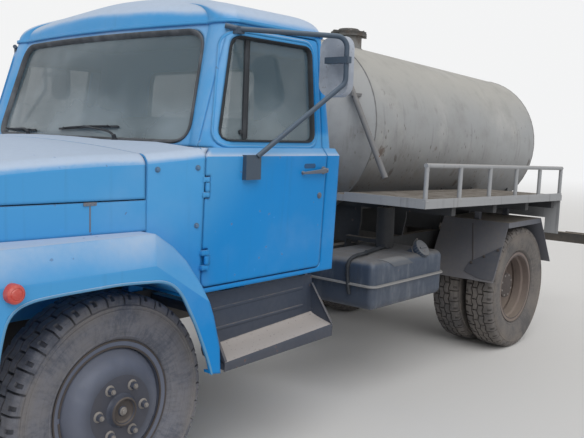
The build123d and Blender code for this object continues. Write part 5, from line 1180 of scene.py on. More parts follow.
class TANKER_OT_door_trim(bpy.types.Operator):
    """Add the pressed lips, vent posts, handles, locks and mirror glasses of the doors"""

    bl_idname = "tanker.door_trim"
    bl_label = "Door trim"

    # Pull handle: length, height, half its thickness up and down, and how far it stands out from the door
    handle = np.array([
        (1.222, 1.4475, 0.0045, 0.014), (1.206, 1.4485, 0.0065, 0.018), (1.150, 1.4520, 0.0085, 0.024),
        (1.090, 1.4555, 0.0110, 0.027), (1.050, 1.4580, 0.0125, 0.026), (1.034, 1.4590, 0.0105, 0.022),
    ])
    bar_depth = 0.011
    # Where the wider foot and the screw cap of the handle, its hollow and the lock sit: length, height
    foot, hollow, lock = (1.046, 1.458), (1.155, 1.4815), (1.066, 1.330)

    def execute(self, context):
        for label, side in SIDES.items():
            self.lip(label, side)
            self.vent_post(label, side)
            self.pull(label, side)
            self.mirror(label, side)
        return {"FINISHED"}

    def lip(self, label, side):
        """Raised edge pressed into the door round its window."""
        corners = np.array(DOOR_WINDOW)
        wider = corners + np.sign(corners - corners.mean(0)) * (0.024, 0.026)
        flat = denser(smooth_path(wider, 0.075, 9, closed=True), 0.018, closed=True)
        path = on_door(flat, side)
        tangent = directions(path, closed=True)
        across = unit(np.cross(tangent, (0.0, side, 0.15 * side)))
        section = [(-0.011, -0.002), (-0.007, 0.0018), (0.0, 0.0034), (0.007, 0.0018), (0.011, -0.002)]
        bead = Shape().add(*carried(path, across, np.cross(across, tangent), section, closed=True))
        bead.piece("window_lip_" + label, "cab_paint", label + "_door", "cab_paint", sharp=60.0)

    def vent_post(self, label, side):
        """Post between the vent window and the sliding pane, and the pane's own thin frame."""
        trim = Shape()
        for foot_x, head_x, width in ((1.573, 1.497, 0.024), (1.556, 1.481, 0.006)):
            path = np.linspace((foot_x, 0.0, 1.612), (head_x, 0.0, 2.066), 9)
            path[:, 1] = side * (door_y(path[:, 0], path[:, 2]) - 0.014)
            trim.add(*carried(path, AHEAD, (0.0, side, 0.0), block_outline(width, 0.014, 0.002)))
        catch, _ = beside("door_glass_" + label, 1.592, 1.640, side)
        button = [(0.0, 0.0), (0.0, 0.011), (0.010, 0.010), (0.012, 0.0)]
        trim.add(*turned(button, catch, (0.0, side, 0.0), 16))
        trim.piece("vent_post_" + label, "black_trim", label + "_door", "grille_plastic")

    def pull(self, label, side):
        """Tapered bar on two feet, a dark plate of painted shade in the hollow behind the fingers, and the
        lock below.
        """
        node = "door_" + label
        out = np.array((0.0, side, 0.0))
        outline = block_outline(1.0, 1.0, 0.3)
        rings = []
        for x, z, half, stand in self.handle:
            place = beside(node, x, z, side)[0] + stand * out
            ring = outline * (0.5 * self.bar_depth, 2 * half)
            rings.append(place + np.column_stack([0 * ring[:, 0], ring]))
        bar = Shape().add(*lofted(rings))
        for x, z, radius in ((*self.foot, 0.0135), (1.208, 1.4485, 0.0065)):
            outline = [(-0.001, 0.0), (-0.001, radius * 1.5), (0.003, radius * 1.45), (0.005, radius),
                       (0.020, radius), (0.020, 0.0)]
            bar.add(*turned(outline, beside(node, x, z, side)[0], out, 20))
        rounded_head([beside(node, *self.foot, side)[0] + 0.0275 * out], out, 0.008, 0.005, bar)
        bar.piece("door_handle_" + label, "handle_metal", label + "_door", "hatch_steel", bevel=0.0015)
        # Thin dark plate: painted shade of the hollow, which is not cut
        hollow = Shape()
        middle, facing = beside(node, *self.hollow, side)
        across = (-side, 0.0, 0.0)
        plate(block_outline(0.088, 0.024, 0.011, 5), 0.0008, middle - 0.0002 * facing, across,
              np.cross(facing, across), hollow)
        hollow.piece("handle_hollow_" + label, "shaded_paint", label + "_door", "cab_paint")
        outline = [(-0.001, 0.0), (-0.001, 0.016), (0.003, 0.0155), (0.005, 0.012), (0.0045, 0.0095),
                   (0.007, 0.009), (0.0075, 0.0)]
        lock = Shape().add(*turned(outline, beside(node, *self.lock, side)[0], out, 28))
        lock.piece("door_lock_" + label, "handle_metal", label + "_door", "hatch_steel")

    def mirror(self, label, side):
        """Slightly crowned glass in the back of the mirror's shell, with its rubber edge."""
        back, _ = meet("mirror_" + label, (0.6, side * 1.206, 1.966), AHEAD)
        glass = Shape()
        outline = block_outline(0.166, 0.262, 0.050, 7)
        plate(outline, 0.0025, back, (0.0, side, 0.0), (0.0, 0.0, side), glass, 0.002)
        glass.piece("mirror_glass_" + label, "mirror_glass", label + "_door", "clear_glass", sharp=60.0)
        ring = denser(block_outline(0.172, 0.268, 0.053, 7), 0.012, closed=True)
        path = back + np.column_stack([0 * ring[:, 0], ring])
        edge = Shape().add(*tube(path, 0.0045, 8, hint=AHEAD, closed=True))
        edge.piece("mirror_edge_" + label, "black_trim", label + "_door", "grille_plastic")


class TANKER_OT_wipers(bpy.types.Operator):
    """Lay the two wipers along the foot of the windscreen"""

    bl_idname = "tanker.wipers"
    bl_label = "Wipers"

    # Each wiper: spindle (length, side), and the blade's two ends across the windscreen
    wipers = {"near": ((1.882, 0.470), (0.400, -0.080)), "far": ((1.890, -0.300), (-0.330, -0.790))}
    blade_height = 1.628
    blade_rise = 0.018
    glass_depth = 0.016

    def execute(self, context):
        for label, (foot, ends) in self.wipers.items():
            self.wiper(label, foot, ends)
        return {"FINISHED"}

    def on_glass(self, y, lift):
        """Point over the glass: the bowed front, less the glass's depth, plus a lift along its slope."""
        z = self.blade_height + self.blade_rise * np.sin(3 * y)
        x = windscreen_x(y, z) - self.glass_depth + lift
        return np.stack([x, y, z + 0.3 * lift], -1)

    def wiper(self, label, foot, ends):
        """Spindle cap, bent arm and bridge in one piece, and the blade with its clips in another."""
        spindle, _ = meet("cab_shell", (*foot, 2.0), (0.0, 0.0, -1.0))
        outline = [(-0.004, 0.0), (-0.004, 0.017), (0.004, 0.016), (0.008, 0.011), (0.026, 0.010),
                   (0.030, 0.0)]
        arm = Shape().add(*turned(outline, spindle, (0.25, 0.0, 1.0), 20))
        hold = self.on_glass(np.array(0.5 * (ends[0] + ends[1])), 0.030)
        start = spindle + (0.006, 0.0, 0.022)
        bend = 0.5 * (start + hold) + (0.012, 0.0, 0.010)
        path = smooth_path([start, 0.7 * start + 0.3 * bend + (0.0, 0.0, 0.012), bend, hold], 0.05, 6)
        along = directions(path)
        across = unit(np.cross(along, (0.5, 0.0, 1.0)))
        arm.add(*carried(path, across, np.cross(across, along), block_outline(0.011, 0.0055, 0.001)))
        count = 25
        span = np.linspace(*ends, count)
        bow = 0.016 + 0.010 * (1 - np.linspace(-1, 1, count) ** 2)
        bridge = np.array([self.on_glass(y, rise) for y, rise in zip(span, bow)])
        arm.add(*tube(bridge[3:-3], 0.0035, 8))
        arm.piece("wiper_arm_" + label, "black_trim", "truck", "grille_plastic")
        path = np.array([self.on_glass(y, 0.0085) for y in span])
        section = [(-0.0012, -0.0080), (0.0012, -0.0080), (0.0020, -0.0010), (0.0048, 0.0), (0.0048, 0.0050),
                   (-0.0048, 0.0050), (-0.0048, 0.0), (-0.0020, -0.0010)]
        outward = unit((0.94, 0.0, 0.33))
        blade = Shape().add(*carried(path, unit(np.cross(directions(path), outward)), outward, section))
        for at in range(3, count, 6):
            clip = 0.5 * (path[at] + bridge[at])
            blade.add(*tube([clip - 0.010 * outward, clip + 0.012 * outward], 0.0035, 8, hint=LEFTWARD))
        blade.piece("wiper_blade_" + label, "black_trim", "truck", "grille_plastic")


class TANKER_OT_cab_fittings(bpy.types.Operator):
    """Add the cab's panel bolts, seams, small hinges and arch edges"""

    bl_idname = "tanker.cab_fittings"
    bl_label = "Cab fittings"

    # Bolts of the cowl panel: length and height
    cowl_bolts = [(2.063, 1.476), (1.890, 1.484), (1.886, 1.235)]
    # Edge of the wheel opening, length and height, from the flap round to the front
    arch = [(1.862, 0.585), (1.886, 0.660), (1.954, 0.818), (2.040, 0.976), (2.114, 1.030), (2.333, 1.046),
            (2.591, 1.043), (2.721, 1.037), (2.790, 1.000), (2.816, 0.900), (2.835, 0.780)]
    # Joint strip of the side panel: length, foot and head; and the height of the small hinge above it
    seam_x, seam_foot, seam_head = 2.358, 1.234, 1.336
    hinge_z = 1.3445

    def execute(self, context):
        for label, side in SIDES.items():
            bolts = Shape()
            for x, z in self.cowl_bolts:
                place, facing = beside("cab_shell", x, z, side)
                washer = [(-0.001, 0.0), (-0.001, 0.0125), (0.0018, 0.0120), (0.0022, 0.0)]
                bolts.add(*turned(washer, place, facing, 22))
                hexagons([place + 0.002 * facing], facing, sizes().bolt_radius, 0.007, bolts)
            bolts.piece("cowl_bolts_" + label, "panel_bolt", "truck", "hatch_steel")
            self.seam(label, side)
            self.arch_edge(label, side)
        return {"FINISHED"}

    def seam(self, label, side):
        """Joint strip of the side panel, and the small hinge plate under the hood's edge."""
        heights = np.linspace(self.seam_foot, self.seam_head, 9)
        path = [beside("cowl_sides", self.seam_x, z, side)[0] for z in heights]
        outline = block_outline(0.007, 0.003, 0.001)
        strip = Shape().add(*carried(path, AHEAD, (0.0, side, 0.0), outline))
        strip.piece("panel_seam_" + label, "rusty_seam", "truck", "cab_paint")
        hinge = Shape()
        place, facing = beside("cowl_sides", self.seam_x, self.hinge_z, side)
        plate(block_outline(0.060, 0.014, 0.003), 0.003, place, (-side, 0.0, 0.0), UP, hinge)
        heads = [place + (along, 0.003 * side, 0.0) for along in (-0.020, 0.0, 0.020)]
        rounded_head(heads, facing, 0.004, 0.002, hinge, 10)
        hinge.piece("panel_hinge_" + label, "rusty_seam", "truck", "hatch_steel")

    def arch_edge(self, label, side):
        """Rolled edge of the fender round the wheel opening, its bead standing out from the skin by 2 mm."""
        flat = denser(smooth_path(self.arch, 0.06, 7), 0.020)
        path = np.stack([flat[:, 0], np.full(len(flat), side * (FENDER_HALF - 0.0035)), flat[:, 1]], -1)
        tangent = directions(path)
        outward = unit(np.cross(tangent, (0.0, 1.0, 0.0)))
        away = path - np.array([FRONT_AXLE_X, 0.0, AXLE_Z])
        outward = outward * np.sign((outward * away).sum(1, keepdims=True))
        path = path + 0.0055 * outward
        edge = Shape().add(*carried(path, outward, (0.0, side, 0.0), block_outline(0.012, 0.0115, 0.0045, 4)))
        edge.piece("arch_edge_" + label, "worn_edge", "truck", "cab_paint", sharp=50.0)


class TANKER_OT_lamps(bpy.types.Operator):
    """Add the rims and lenses of the headlamps, side markers and tail lamps"""

    bl_idname = "tanker.lamps"
    bl_label = "Lamps"

    headlamp = (0.700, 1.060)
    marker = (2.776, 1.081)
    tail_lamp_y = 0.900

    def execute(self, context):
        rims, lenses, reds = Shape(), Shape(), Shape()
        for label, side in SIDES.items():
            out = (0.0, side, 0.0)
            y, z = self.headlamp
            face, _ = meet("front_lamps", (3.6, side * y, z), (-1.0, 0.0, 0.0))
            rim = [(-0.020, 0.099), (0.004, 0.101), (0.010, 0.097), (0.010, 0.090), (0.002, 0.086),
                   (-0.020, 0.086), (-0.020, 0.099)]
            rims.add(*turned(rim, face, AHEAD, 56))
            bulge = np.linspace(0.0, 1.0, 8)
            lens = np.stack([0.001 + 0.016 * (1 - bulge**2), 0.087 * bulge], -1)
            lens = np.concatenate([lens, [[-0.004, 0.087], [-0.004, 0.0]]])
            lenses.add(*turned(lens, face, AHEAD, 56))
            x, z = self.marker
            place, _ = beside("front_lamps", x, z, side)
            root, _ = beside("fender_" + label, x, z + 0.05, side)
            deep = abs(place[1] - root[1])
            rim = np.array([(-0.0005, 0.040), (0.003, 0.041), (0.006, 0.038), (0.006, 0.034),
                            (-0.0005, 0.034), (-0.0005, 0.040)])
            rims.add(*turned(rim - (deep, 0.0), place, out, 36))
            dome = [(-deep, 0.0), (-deep, 0.0348), (-0.006, 0.0348), (0.0, 0.0315), (0.0045, 0.024),
                    (0.0030, 0.0205), (0.0065, 0.017), (0.0080, 0.009), (0.0085, 0.0)]
            reds.add(*turned(dome, place, out, 36))
            place, _ = meet("tail_bar", (-3.6, side * self.tail_lamp_y, 0.720), AHEAD)
            plate(block_outline(0.232, 0.092, 0.014, 4), 0.008, place, (0.0, -1.0, 0.0), UP, reds, 0.004)
        rims.piece("lamp_rims", "dull_bright", "truck", "hatch_steel")
        lenses.piece("headlamp_lenses", "lamp_lens", "truck", "lamp_lens", sharp=60.0)
        reds.piece("red_lenses", "red_lens", "truck", "lamp_lens", sharp=30.0)
        return {"FINISHED"}


class TANKER_OT_wheel_trim(bpy.types.Operator):
    """Replace the front wheels, and add lock rings, washers, stud ends, hub cups and nuts"""

    bl_idname = "tanker.wheel_trim"
    bl_label = "Wheel trim"

    nut_count = 6
    stud_rise = 0.034
    # Outline of the front wheel's dome: radius, and place along the axle from the disc's face
    dome = [(0.150, 0.0), (0.162, -0.0025), (0.176, -0.0075), (0.190, -0.0145), (0.203, -0.0235),
            (0.214, -0.0340), (0.224, -0.0460), (0.232, -0.0580), (0.240, -0.0690), (0.2465, -0.0770)]
    # Outlines of the hub's cup and the wheel's back: place along the axle from the disc's face, and radius
    cup = [(0.021, 0.0), (0.021, 0.010), (0.018, 0.018), (0.010, 0.022), (0.0085, 0.030), (0.0085, 0.042),
           (0.012, 0.0475), (0.021, 0.0500), (0.0270, 0.0525), (0.0285, 0.0560), (0.0265, 0.0600),
           (0.0140, 0.0635), (0.0040, 0.0670), (0.0, 0.0720), (0.0, 0.1000), (0.0, 0.1250)]
    back = [(-0.089, 0.2480), (-0.089, 0.2380), (-0.057, 0.2240), (-0.031, 0.1950), (-0.012, 0.1540),
            (-0.012, 0.0740), (-0.014, 0.0600), (-0.092, 0.0600), (-0.092, SPINDLE_BORE),
            (0.003, SPINDLE_BORE), (0.003, 0.0)]
    # Round pressings of the disc: how many, the circle they sit on, their reach and depth
    pressings, pressing_circle, pressing_reach, pressing_depth = 6, 0.200, 0.024, 0.0035
    # Small bolts of the rear hubs: how many, and the circle they sit on
    hub_bolts, hub_bolt_circle = 8, 0.083

    def execute(self, context):
        for label, side in SIDES.items():
            self.front(label, side)
            self.rear(label, side)
        return {"FINISHED"}

    def spoke(self, turn):
        """Unit vectors from the axle at the given angles: (cos t, 0, sin t)."""
        return np.stack([np.cos(turn), 0 * turn, np.sin(turn)], -1)

    def nuts(self, face):
        """Middles of the wheel nuts on the disc's face."""
        return face + NUT_CIRCLE * self.spoke(np.arange(self.nut_count) * 2 * np.pi / self.nut_count)

    def rings(self, centre, out):
        """Rounded bead of the rim's edge, and the split lock ring inside it."""
        edge = centre + 0.2805 * self.spoke(np.linspace(0, 2 * np.pi, 160, endpoint=False)) + 0.0855 * out
        bead = Shape().add(*tube(edge, 0.0042, 8, hint=tuple(out), closed=True))
        around = self.spoke(np.linspace(0.07, 2 * np.pi - 0.02, 160))
        split = centre + 0.2535 * around + 0.0815 * out
        return bead.add(*carried(split, around, out, block_outline(0.009, 0.007, 0.002)))

    def studs(self, face, out):
        """Conical washer, chamfer and stud end at each wheel nut."""
        rise = self.stud_rise
        washer = [(0.0, 0.0), (0.0, 0.0235), (0.003, 0.0230), (0.008, 0.0175), (0.008, 0.0)]
        end = [(0.025, 0.0), (0.025, 0.0115), (0.0275, 0.0110), (0.0275, 0.0080), (rise - 0.001, 0.0080),
               (rise, 0.0065), (rise, 0.0)]
        studs = Shape()
        for place in self.nuts(face):
            studs.add(*turned(washer, place, out, 24))
            studs.add(*turned(end, place, out, 16))
        return studs

    def front_wheel(self, label, centre, out, body):
        """Rim, domed disc and hub: two outlines of (along, radius) turned about the axle.

        Six shallow round pressings dent the disc by depth x exp(-(distance / reach)^4).
        """
        half, wall = RIM_HALF_WIDTH, RIM_WALL
        well, inside = RIM_RADIUS - 0.012, RIM_RADIUS - RIM_WALL
        rim = [
            (-half, FLANGE_RADIUS), (wall - half, FLANGE_RADIUS), (wall + 0.006 - half, RIM_RADIUS),
            (-0.030, RIM_RADIUS), (-0.018, well), (0.030, well), (0.042, RIM_RADIUS),
            (half - wall - 0.006, RIM_RADIUS), (half - wall, FLANGE_RADIUS),
            (half - 0.003, FLANGE_RADIUS + 0.0008), (half, FLANGE_RADIUS - 0.001),
            (half + 0.0005, FLANGE_RADIUS - 0.005), (half - 0.003, 0.262), (half - 0.006, 0.250),
            (0.060, 0.248), (0.048, inside), (0.036, well - wall), (-0.024, well - wall), (-0.036, inside),
            (0.002 - half, inside), (-half, FLANGE_RADIUS),
        ]
        wheel = Shape().add(*turned(rim, centre, out, 128))
        face = centre + DISC_OFFSET * out
        front = self.cup + [(along, radius) for radius, along in self.dome]
        points, faces = turned(front + self.back, face, out, 144)
        disc = points[len(self.cup):len(front)]
        for spot in range(self.pressings):
            middle = self.pressing_circle * self.spoke(math.radians(30 + 360 / self.pressings * spot))
            flat = disc - centre
            away = np.linalg.norm(flat - (flat @ out)[..., None] * out - middle, axis=-1)
            disc -= self.pressing_depth * np.exp(-((away / self.pressing_reach) ** 4))[..., None] * out
        wheel.add(points, faces)
        hexagons(self.nuts(face), out, 0.0165, 0.026, wheel)
        wheel.piece("front_wheel_" + label, "wheel_paint", body, "wheel_paint", sharp=38.0,
                    stands_for=["wheel_front_" + label])

    def front(self, label, side):
        """Everything on a front wheel: the wheel itself, its ring, studs, flange, cup and nut."""
        body = "front_" + label + "_wheel"
        out = np.array((0.0, side, 0.0))
        centre = np.array((FRONT_AXLE_X, side * FRONT_WHEEL_Y, AXLE_Z))
        face = centre + DISC_OFFSET * out
        self.front_wheel(label, centre, out, body)
        self.rings(centre, out).piece("lock_ring_front_" + label, "rusty_ring", body, "wheel_paint")
        self.studs(face, out).piece("studs_front_" + label, "stud_steel", body, "hatch_steel")
        flange = [(-0.001, 0.0745), (0.0016, 0.0750), (0.0016, 0.1440), (0.0004, 0.1480), (-0.001, 0.1480)]
        hub = Shape().add(*turned(flange + flange[:1], face, out, 72))
        hub.piece("nut_flange_front_" + label, "hub_paint", body, "wheel_paint", sharp=30.0)
        ring = [(0.0255, 0.0515), (0.0300, 0.0535), (0.0300, 0.0575), (0.0255, 0.0610)]
        cup = Shape().add(*turned(ring + ring[:1], face, out, 72))
        lining = [(0.0090, 0.0), (0.0090, 0.040), (0.0125, 0.0462), (0.0215, 0.0490), (0.0215, 0.0480),
                  (0.0140, 0.0448), (0.0110, 0.0390), (0.0110, 0.0)]
        cup.add(*turned(lining, face, out, 56))
        cup.piece("hub_cup_front_" + label, "rusty_ring", body, "wheel_paint", sharp=40.0)
        nut = Shape()
        hexagons([face + 0.0200 * out], out, 0.0120, 0.007, nut, 0.3)
        boss = [(0.0110, 0.0), (0.0110, 0.0190), (0.0180, 0.0180), (0.0215, 0.0120), (0.0215, 0.0)]
        nut.add(*turned(boss, face, out, 32))
        nut.piece("hub_nut_front_" + label, "stud_steel", body, "hatch_steel", sharp=30.0)

    def rear(self, label, side):
        """Lock ring, studs and hub bolts of the outer one of a pair of rear wheels."""
        body = "rear_" + label + "_wheels"
        out = np.array((0.0, side, 0.0))
        face = np.array((REAR_AXLE_X, side * REAR_WHEEL_Y, AXLE_Z))
        rings = self.rings(face + DISC_OFFSET * out, out)
        rings.piece("lock_ring_rear_" + label, "rusty_ring", body, "wheel_paint")
        studs = self.studs(face, out)
        for turn in (np.arange(self.hub_bolts) + 0.5) * 2 * np.pi / self.hub_bolts:
            place = face + self.hub_bolt_circle * self.spoke(turn) + 0.1495 * out
            hexagons([place], out, 0.0085, 0.006, studs, turn)
        studs.piece("studs_rear_" + label, "stud_steel", body, "hatch_steel")


class TANKER_OT_tank_fittings(bpy.types.Operator):
    """Lay the weld beads on the tank and bolt down its hatch"""

    bl_idname = "tanker.tank_fittings"
    bl_label = "Tank fittings"

    # Places of the round welds, as distances behind the tank's front seam
    welds = (0.0, TANK_LENGTH)
    neck_radius = 0.100
    ripple_pitch = 0.008
    # Lid's clamp bolts: how many, and the circle they stand on
    clamps, clamp_circle = 4, 0.112

    def along(self, reach):
        """Middle of the tank at a distance behind its front seam; the axis falls to the rear."""
        x = TANK_SEAM_X - reach * math.cos(TANK_SLOPE)
        return np.array((x, 0.0, TANK_AXIS_Z - reach * math.sin(TANK_SLOPE)))

    def bead(self, path, shape):
        """Round weld: a low ridge whose height and width ripple along the path."""
        spot = np.arange(len(path))
        ripple = 1 + 0.16 * np.sin(spot * 2 * np.pi / 4) + 0.10 * np.sin(spot * 0.173)
        points, faces = tube(path, sizes().weld_width / 2, 7, closed=True)
        shape.add(path[:, None] + (points - path[:, None]) * ripple[:, None, None], faces)

    def execute(self, context):
        welds = Shape()
        upright = np.array((-math.sin(TANK_SLOPE), 0.0, math.cos(TANK_SLOPE)))
        count = int(2 * np.pi * TANK_RADIUS / self.ripple_pitch * 4)
        turn = (np.arange(count) * 2 * np.pi / count)[:, None]
        ring = np.cos(turn) * LEFTWARD + np.sin(turn) * upright
        for reach in self.welds:
            self.bead(self.along(reach) + (TANK_RADIUS - 0.0015) * ring, welds)
        turn = np.linspace(0, 2 * np.pi, 260, endpoint=False)
        x = HATCH_X + (self.neck_radius + 0.003) * np.cos(turn)
        y = (self.neck_radius + 0.003) * np.sin(turn)
        axis_z = TANK_AXIS_Z + (x - TANK_SEAM_X) * math.tan(TANK_SLOPE)
        z = axis_z + np.sqrt((TANK_RADIUS / math.cos(TANK_SLOPE)) ** 2 - y**2) + 0.002
        self.bead(np.stack([x, y, z], -1), welds)
        welds.piece("tank_welds", "weld_seam", "truck", "tank_paint", sharp=60.0)
        self.hatch()
        return {"FINISHED"}

    def hatch(self):
        """Clamp bolts with wing nuts on the lid."""
        down = (0.0, 0.0, -1.0)
        top, _ = meet("hatch_lid", (HATCH_X, 0.0, 2.8), down)
        boss = [(-0.001, 0.0), (-0.001, 0.016), (0.003, 0.0155), (0.004, 0.008), (0.015, 0.0075),
                (0.016, 0.0)]
        fittings = Shape()
        for spot in range(self.clamps):
            turn = math.radians(45 + 360 / self.clamps * spot)
            spoke = np.array((math.cos(turn), math.sin(turn), 0.0))
            place = top + self.clamp_circle * spoke
            place[2] = meet("hatch_lid", (*place[:2], 2.8), down)[0][2]
            fittings.add(*turned(boss, place, UP, 14))
            side = np.array((-spoke[1], spoke[0], 0.0))
            wing = [(-0.024, 0.013), (-0.006, 0.008), (0.006, 0.008), (0.024, 0.013)]
            path = [place + along * side + (0, 0, rise) for along, rise in wing]
            fittings.add(*tube(denser(path, 0.004), 0.0035, 7, hint=tuple(spoke)))
        fittings.piece("hatch_wing_nuts", "stud_steel", "tank_lid", "hatch_steel")


class TANKER_OT_rear_fittings(bpy.types.Operator):
    """Add the platforms' lips, the railings' feet, and the mudguards' flaps, bolts and seams"""

    bl_idname = "tanker.rear_fittings"
    bl_label = "Rear fittings"

    # Left flap on the mudguard's front face: sideways and down along the plate, from its upper outer corner
    flap = [(1.066, 0.846), (0.955, 0.778), (0.845, 0.714), (0.812, 0.645), (0.950, 0.606), (1.066, 0.604)]
    flap_bolts = [(1.045, 0.818), (0.950, 0.762), (0.862, 0.708)]
    lip_height = 0.016
    lip_wall = 0.005
    posts, post_pitch = 6, 0.4112

    def on_deck(self, x, y, lift):
        """Point over the deck, which falls to the rear."""
        drop = (DECK_FRONT_X - np.asarray(x)) * math.tan(DECK_SLOPE)
        return np.stack([np.asarray(x), y + 0 * np.asarray(x), DECK_TOP - drop + lift], -1)

    def execute(self, context):
        lips, feet = Shape(), Shape()
        front_x = DECK_FRONT_X - 0.003
        rear_x = DECK_FRONT_X - DECK_LENGTH + 0.012
        half = 0.5 * self.lip_wall
        section = [(-half, -0.001), (half, -0.001), (half, self.lip_height), (-half, self.lip_height)]
        cuff = [(0.0, 0.013), (0.0, 0.0215), (0.0035, 0.0200), (0.008, 0.0155), (0.008, 0.013), (0.0, 0.013)]
        for side in SIDES.values():
            start, _ = meet("platforms", (0.1, side * (DECK_HALF - 0.006), 2.0), (0.0, 0.0, -1.0))
            rise = start[2] - self.on_deck(0.1, 0.0, 0.0)[2]
            outer = side * (DECK_HALF - half)
            corner = self.on_deck(front_x, outer, rise)
            lips.add(*carried([self.on_deck(rear_x, outer, rise), corner], LEFTWARD, UP, section))
            lips.add(*carried([corner, self.on_deck(front_x, side * 0.60, rise)], AHEAD, UP, section))
            for post in range(self.posts):
                x = DECK_FRONT_X - 0.020 - post * self.post_pitch
                feet.add(*turned(cuff, self.on_deck(x, side * (DECK_HALF - 0.017), rise), UP, 18))
        lips.piece("deck_lips", "railing_paint", "truck", "platform_paint", bevel=0.001)
        feet.piece("railing_feet", "railing_paint", "truck", "railing_paint", sharp=50.0)
        for label, side in SIDES.items():
            self.mudguard(label, side)
        return {"FINISHED"}

    def mudguard(self, label, side):
        """Bolted rubber flap over the plate's lower half, and the seam down its face."""
        def on_plate(y, z):
            """Place on the mudguard's front face, and which way the face looks."""
            return meet("rear_mudguards", (0.2, side * y, z), (-1.0, 0.0, 0.0))

        def over_plate(y, z, lift):
            """Place lifted off the mudguard's front face."""
            place, facing = on_plate(y, z)
            return place + lift * facing

        rim = denser(self.flap, 0.03, closed=True)
        back, front = ([over_plate(y, z, lift) for y, z in rim] for lift in (0.0005, 0.005))
        count = len(rim)
        faces = grid_faces(2, count).tolist() + [list(range(count, 2 * count))]
        sheet = Shape().add([back, front], faces)
        sheet.piece("flap_" + label, "flap_rubber", "truck", "mudguard_paint")
        bolts = Shape()
        for y, z in self.flap_bolts:
            hexagons([over_plate(y, z, 0.005)], on_plate(y, z)[1], 0.011, 0.008, bolts)
        heights = np.linspace(0.990, 0.725, 30)
        seam = np.array([over_plate(0.781 + 0.326 * (0.990 - z), z, 0.001) for z in heights])
        bolts.add(*tube(seam, 0.0036, 8, hint=LEFTWARD))
        bolts.piece("mudguard_trim_" + label, "rusty_ring", "truck", "mudguard_paint")


class TANKER_OT_fuel_fittings(bpy.types.Operator):
    """Add the fuel tank's pipe, patch, filler cap and latch"""

    bl_idname = "tanker.fuel_fittings"
    bl_label = "Fuel fittings"

    # Fuel pipe from under the front end, over the edge and back along the top
    pipe = [(0.500, 0.876, 0.700), (0.502, 0.860, 0.800), (0.505, 0.860, 0.893), (0.460, 0.875, 0.925),
            (0.330, 0.860, 0.926), (0.120, 0.800, 0.924), (-0.060, 0.760, 0.921)]
    # Clips of the pipe, as shares of its length
    clips = (0.22, 0.52, 0.86)
    # Patch: its two ends, the angles round the tank's edge, how it leans, and its points along and round
    patch = (0.125, 0.335)
    patch_angles = (12.0, 78.0)
    patch_lean = 0.10
    rows, columns = 12, 16
    # Filler cap: its foot, how far it leans outward, and how many ribs it has
    cap = (-0.080, 0.956, 0.890)
    cap_tilt = math.radians(52.0)
    ribs = 20

    def execute(self, context):
        path = denser(smooth_path(self.pipe, 0.05, 8), 0.008)
        pipe = Shape().add(*tube(path, 0.0115, 14, hint=(0.1, 1.0, 0.0)))
        clip = [(-0.008, 0.0115), (-0.008, 0.0140), (0.008, 0.0140), (0.008, 0.0115), (-0.008, 0.0115)]
        for share in self.clips:
            spot = int(share * len(path))
            pipe.add(*turned(clip, path[spot], directions(path)[spot], 18))
        pipe.piece("fuel_pipe", "black_trim", "truck", "fuel_tank_paint")
        self.metal_patch()
        self.filler()
        return {"FINISHED"}

    def metal_patch(self):
        """Thin sheet bent over the tank's upper edge: the tank's points met from outside, lifted by 3 mm."""
        rows, columns = self.rows, self.columns
        below, above = [], []
        for place in np.linspace(*self.patch, rows):
            for angle in np.radians(np.linspace(*self.patch_angles, columns)):
                out = np.array((0.0, math.cos(angle), math.sin(angle)))
                start = np.array((place + self.patch_lean * (angle - 0.8), 0.985, 0.850)) + 0.5 * out
                touch, facing = meet("fuel_tank", start, -out)
                below.append(touch + 0.0008 * facing)
                above.append(touch + 0.0030 * facing)
        spots = np.arange(rows * columns).reshape(rows, columns)
        rim = [*spots[0], *spots[1:, -1], *spots[-1, -2::-1], *spots[-2:0:-1, 0]]
        rim = [int(spot) for spot in rim]
        count = rows * columns
        faces = grid_faces(rows, columns, columns_close=False)
        walls = [[a, b, b + count, a + count] for a, b in zip(rim, rim[1:] + rim[:1])]
        sheet = Shape().add(below + above, faces.tolist() + (faces + count).tolist() + walls)
        sheet.piece("fuel_tank_patch", "patch_metal", "truck", "fuel_tank_paint", sharp=60.0)

    def filler(self):
        """Ribbed ring and latch of the slanted filler cap."""
        out = np.array((0.0, math.sin(self.cap_tilt), math.cos(self.cap_tilt)))
        cap, ahead = np.array(self.cap), np.array(AHEAD)
        outline = [(0.0780, 0.0), (0.0780, 0.0560), (0.0790, 0.0575), (0.0815, 0.0570), (0.0825, 0.0520),
                   (0.0800, 0.0460), (0.0815, 0.0330), (0.0830, 0.0)]
        crown = Shape().add(*turned(outline, cap, out, 48))
        turn = (np.arange(self.ribs) * 2 * np.pi / self.ribs)[:, None]
        level = np.cross(out, ahead)
        spokes = np.cos(turn) * ahead + np.sin(turn) * level
        for spoke in spokes:
            start = cap + 0.0545 * out + 0.0578 * spoke
            crown.add(*tube([start, start + 0.022 * out], 0.0030, 6, hint=tuple(spoke)))
        bar = [(-0.034, 0.085), (0.0, 0.088), (0.034, 0.085)]
        bar = [cap + rise * out + along * ahead for along, rise in bar]
        crown.add(*carried(bar, level, out, block_outline(0.013, 0.006, 0.002)))
        crown.piece("filler_cap", "patch_metal", "truck", "fuel_tank_paint")
        hook = [(0.030, 0.048), (0.050, 0.064), (0.078, 0.068)]
        path = [cap + rise * out - away * level for rise, away in hook]
        latch = Shape().add(*tube(denser(path, 0.004), 0.005, 8, hint=AHEAD))
        loop = cap + 0.030 * out + 0.0475 * spokes
        latch.add(*tube(loop, 0.0030, 7, hint=tuple(out), closed=True))
        latch.piece("filler_latch", "stud_steel", "truck", "fuel_tank_paint")


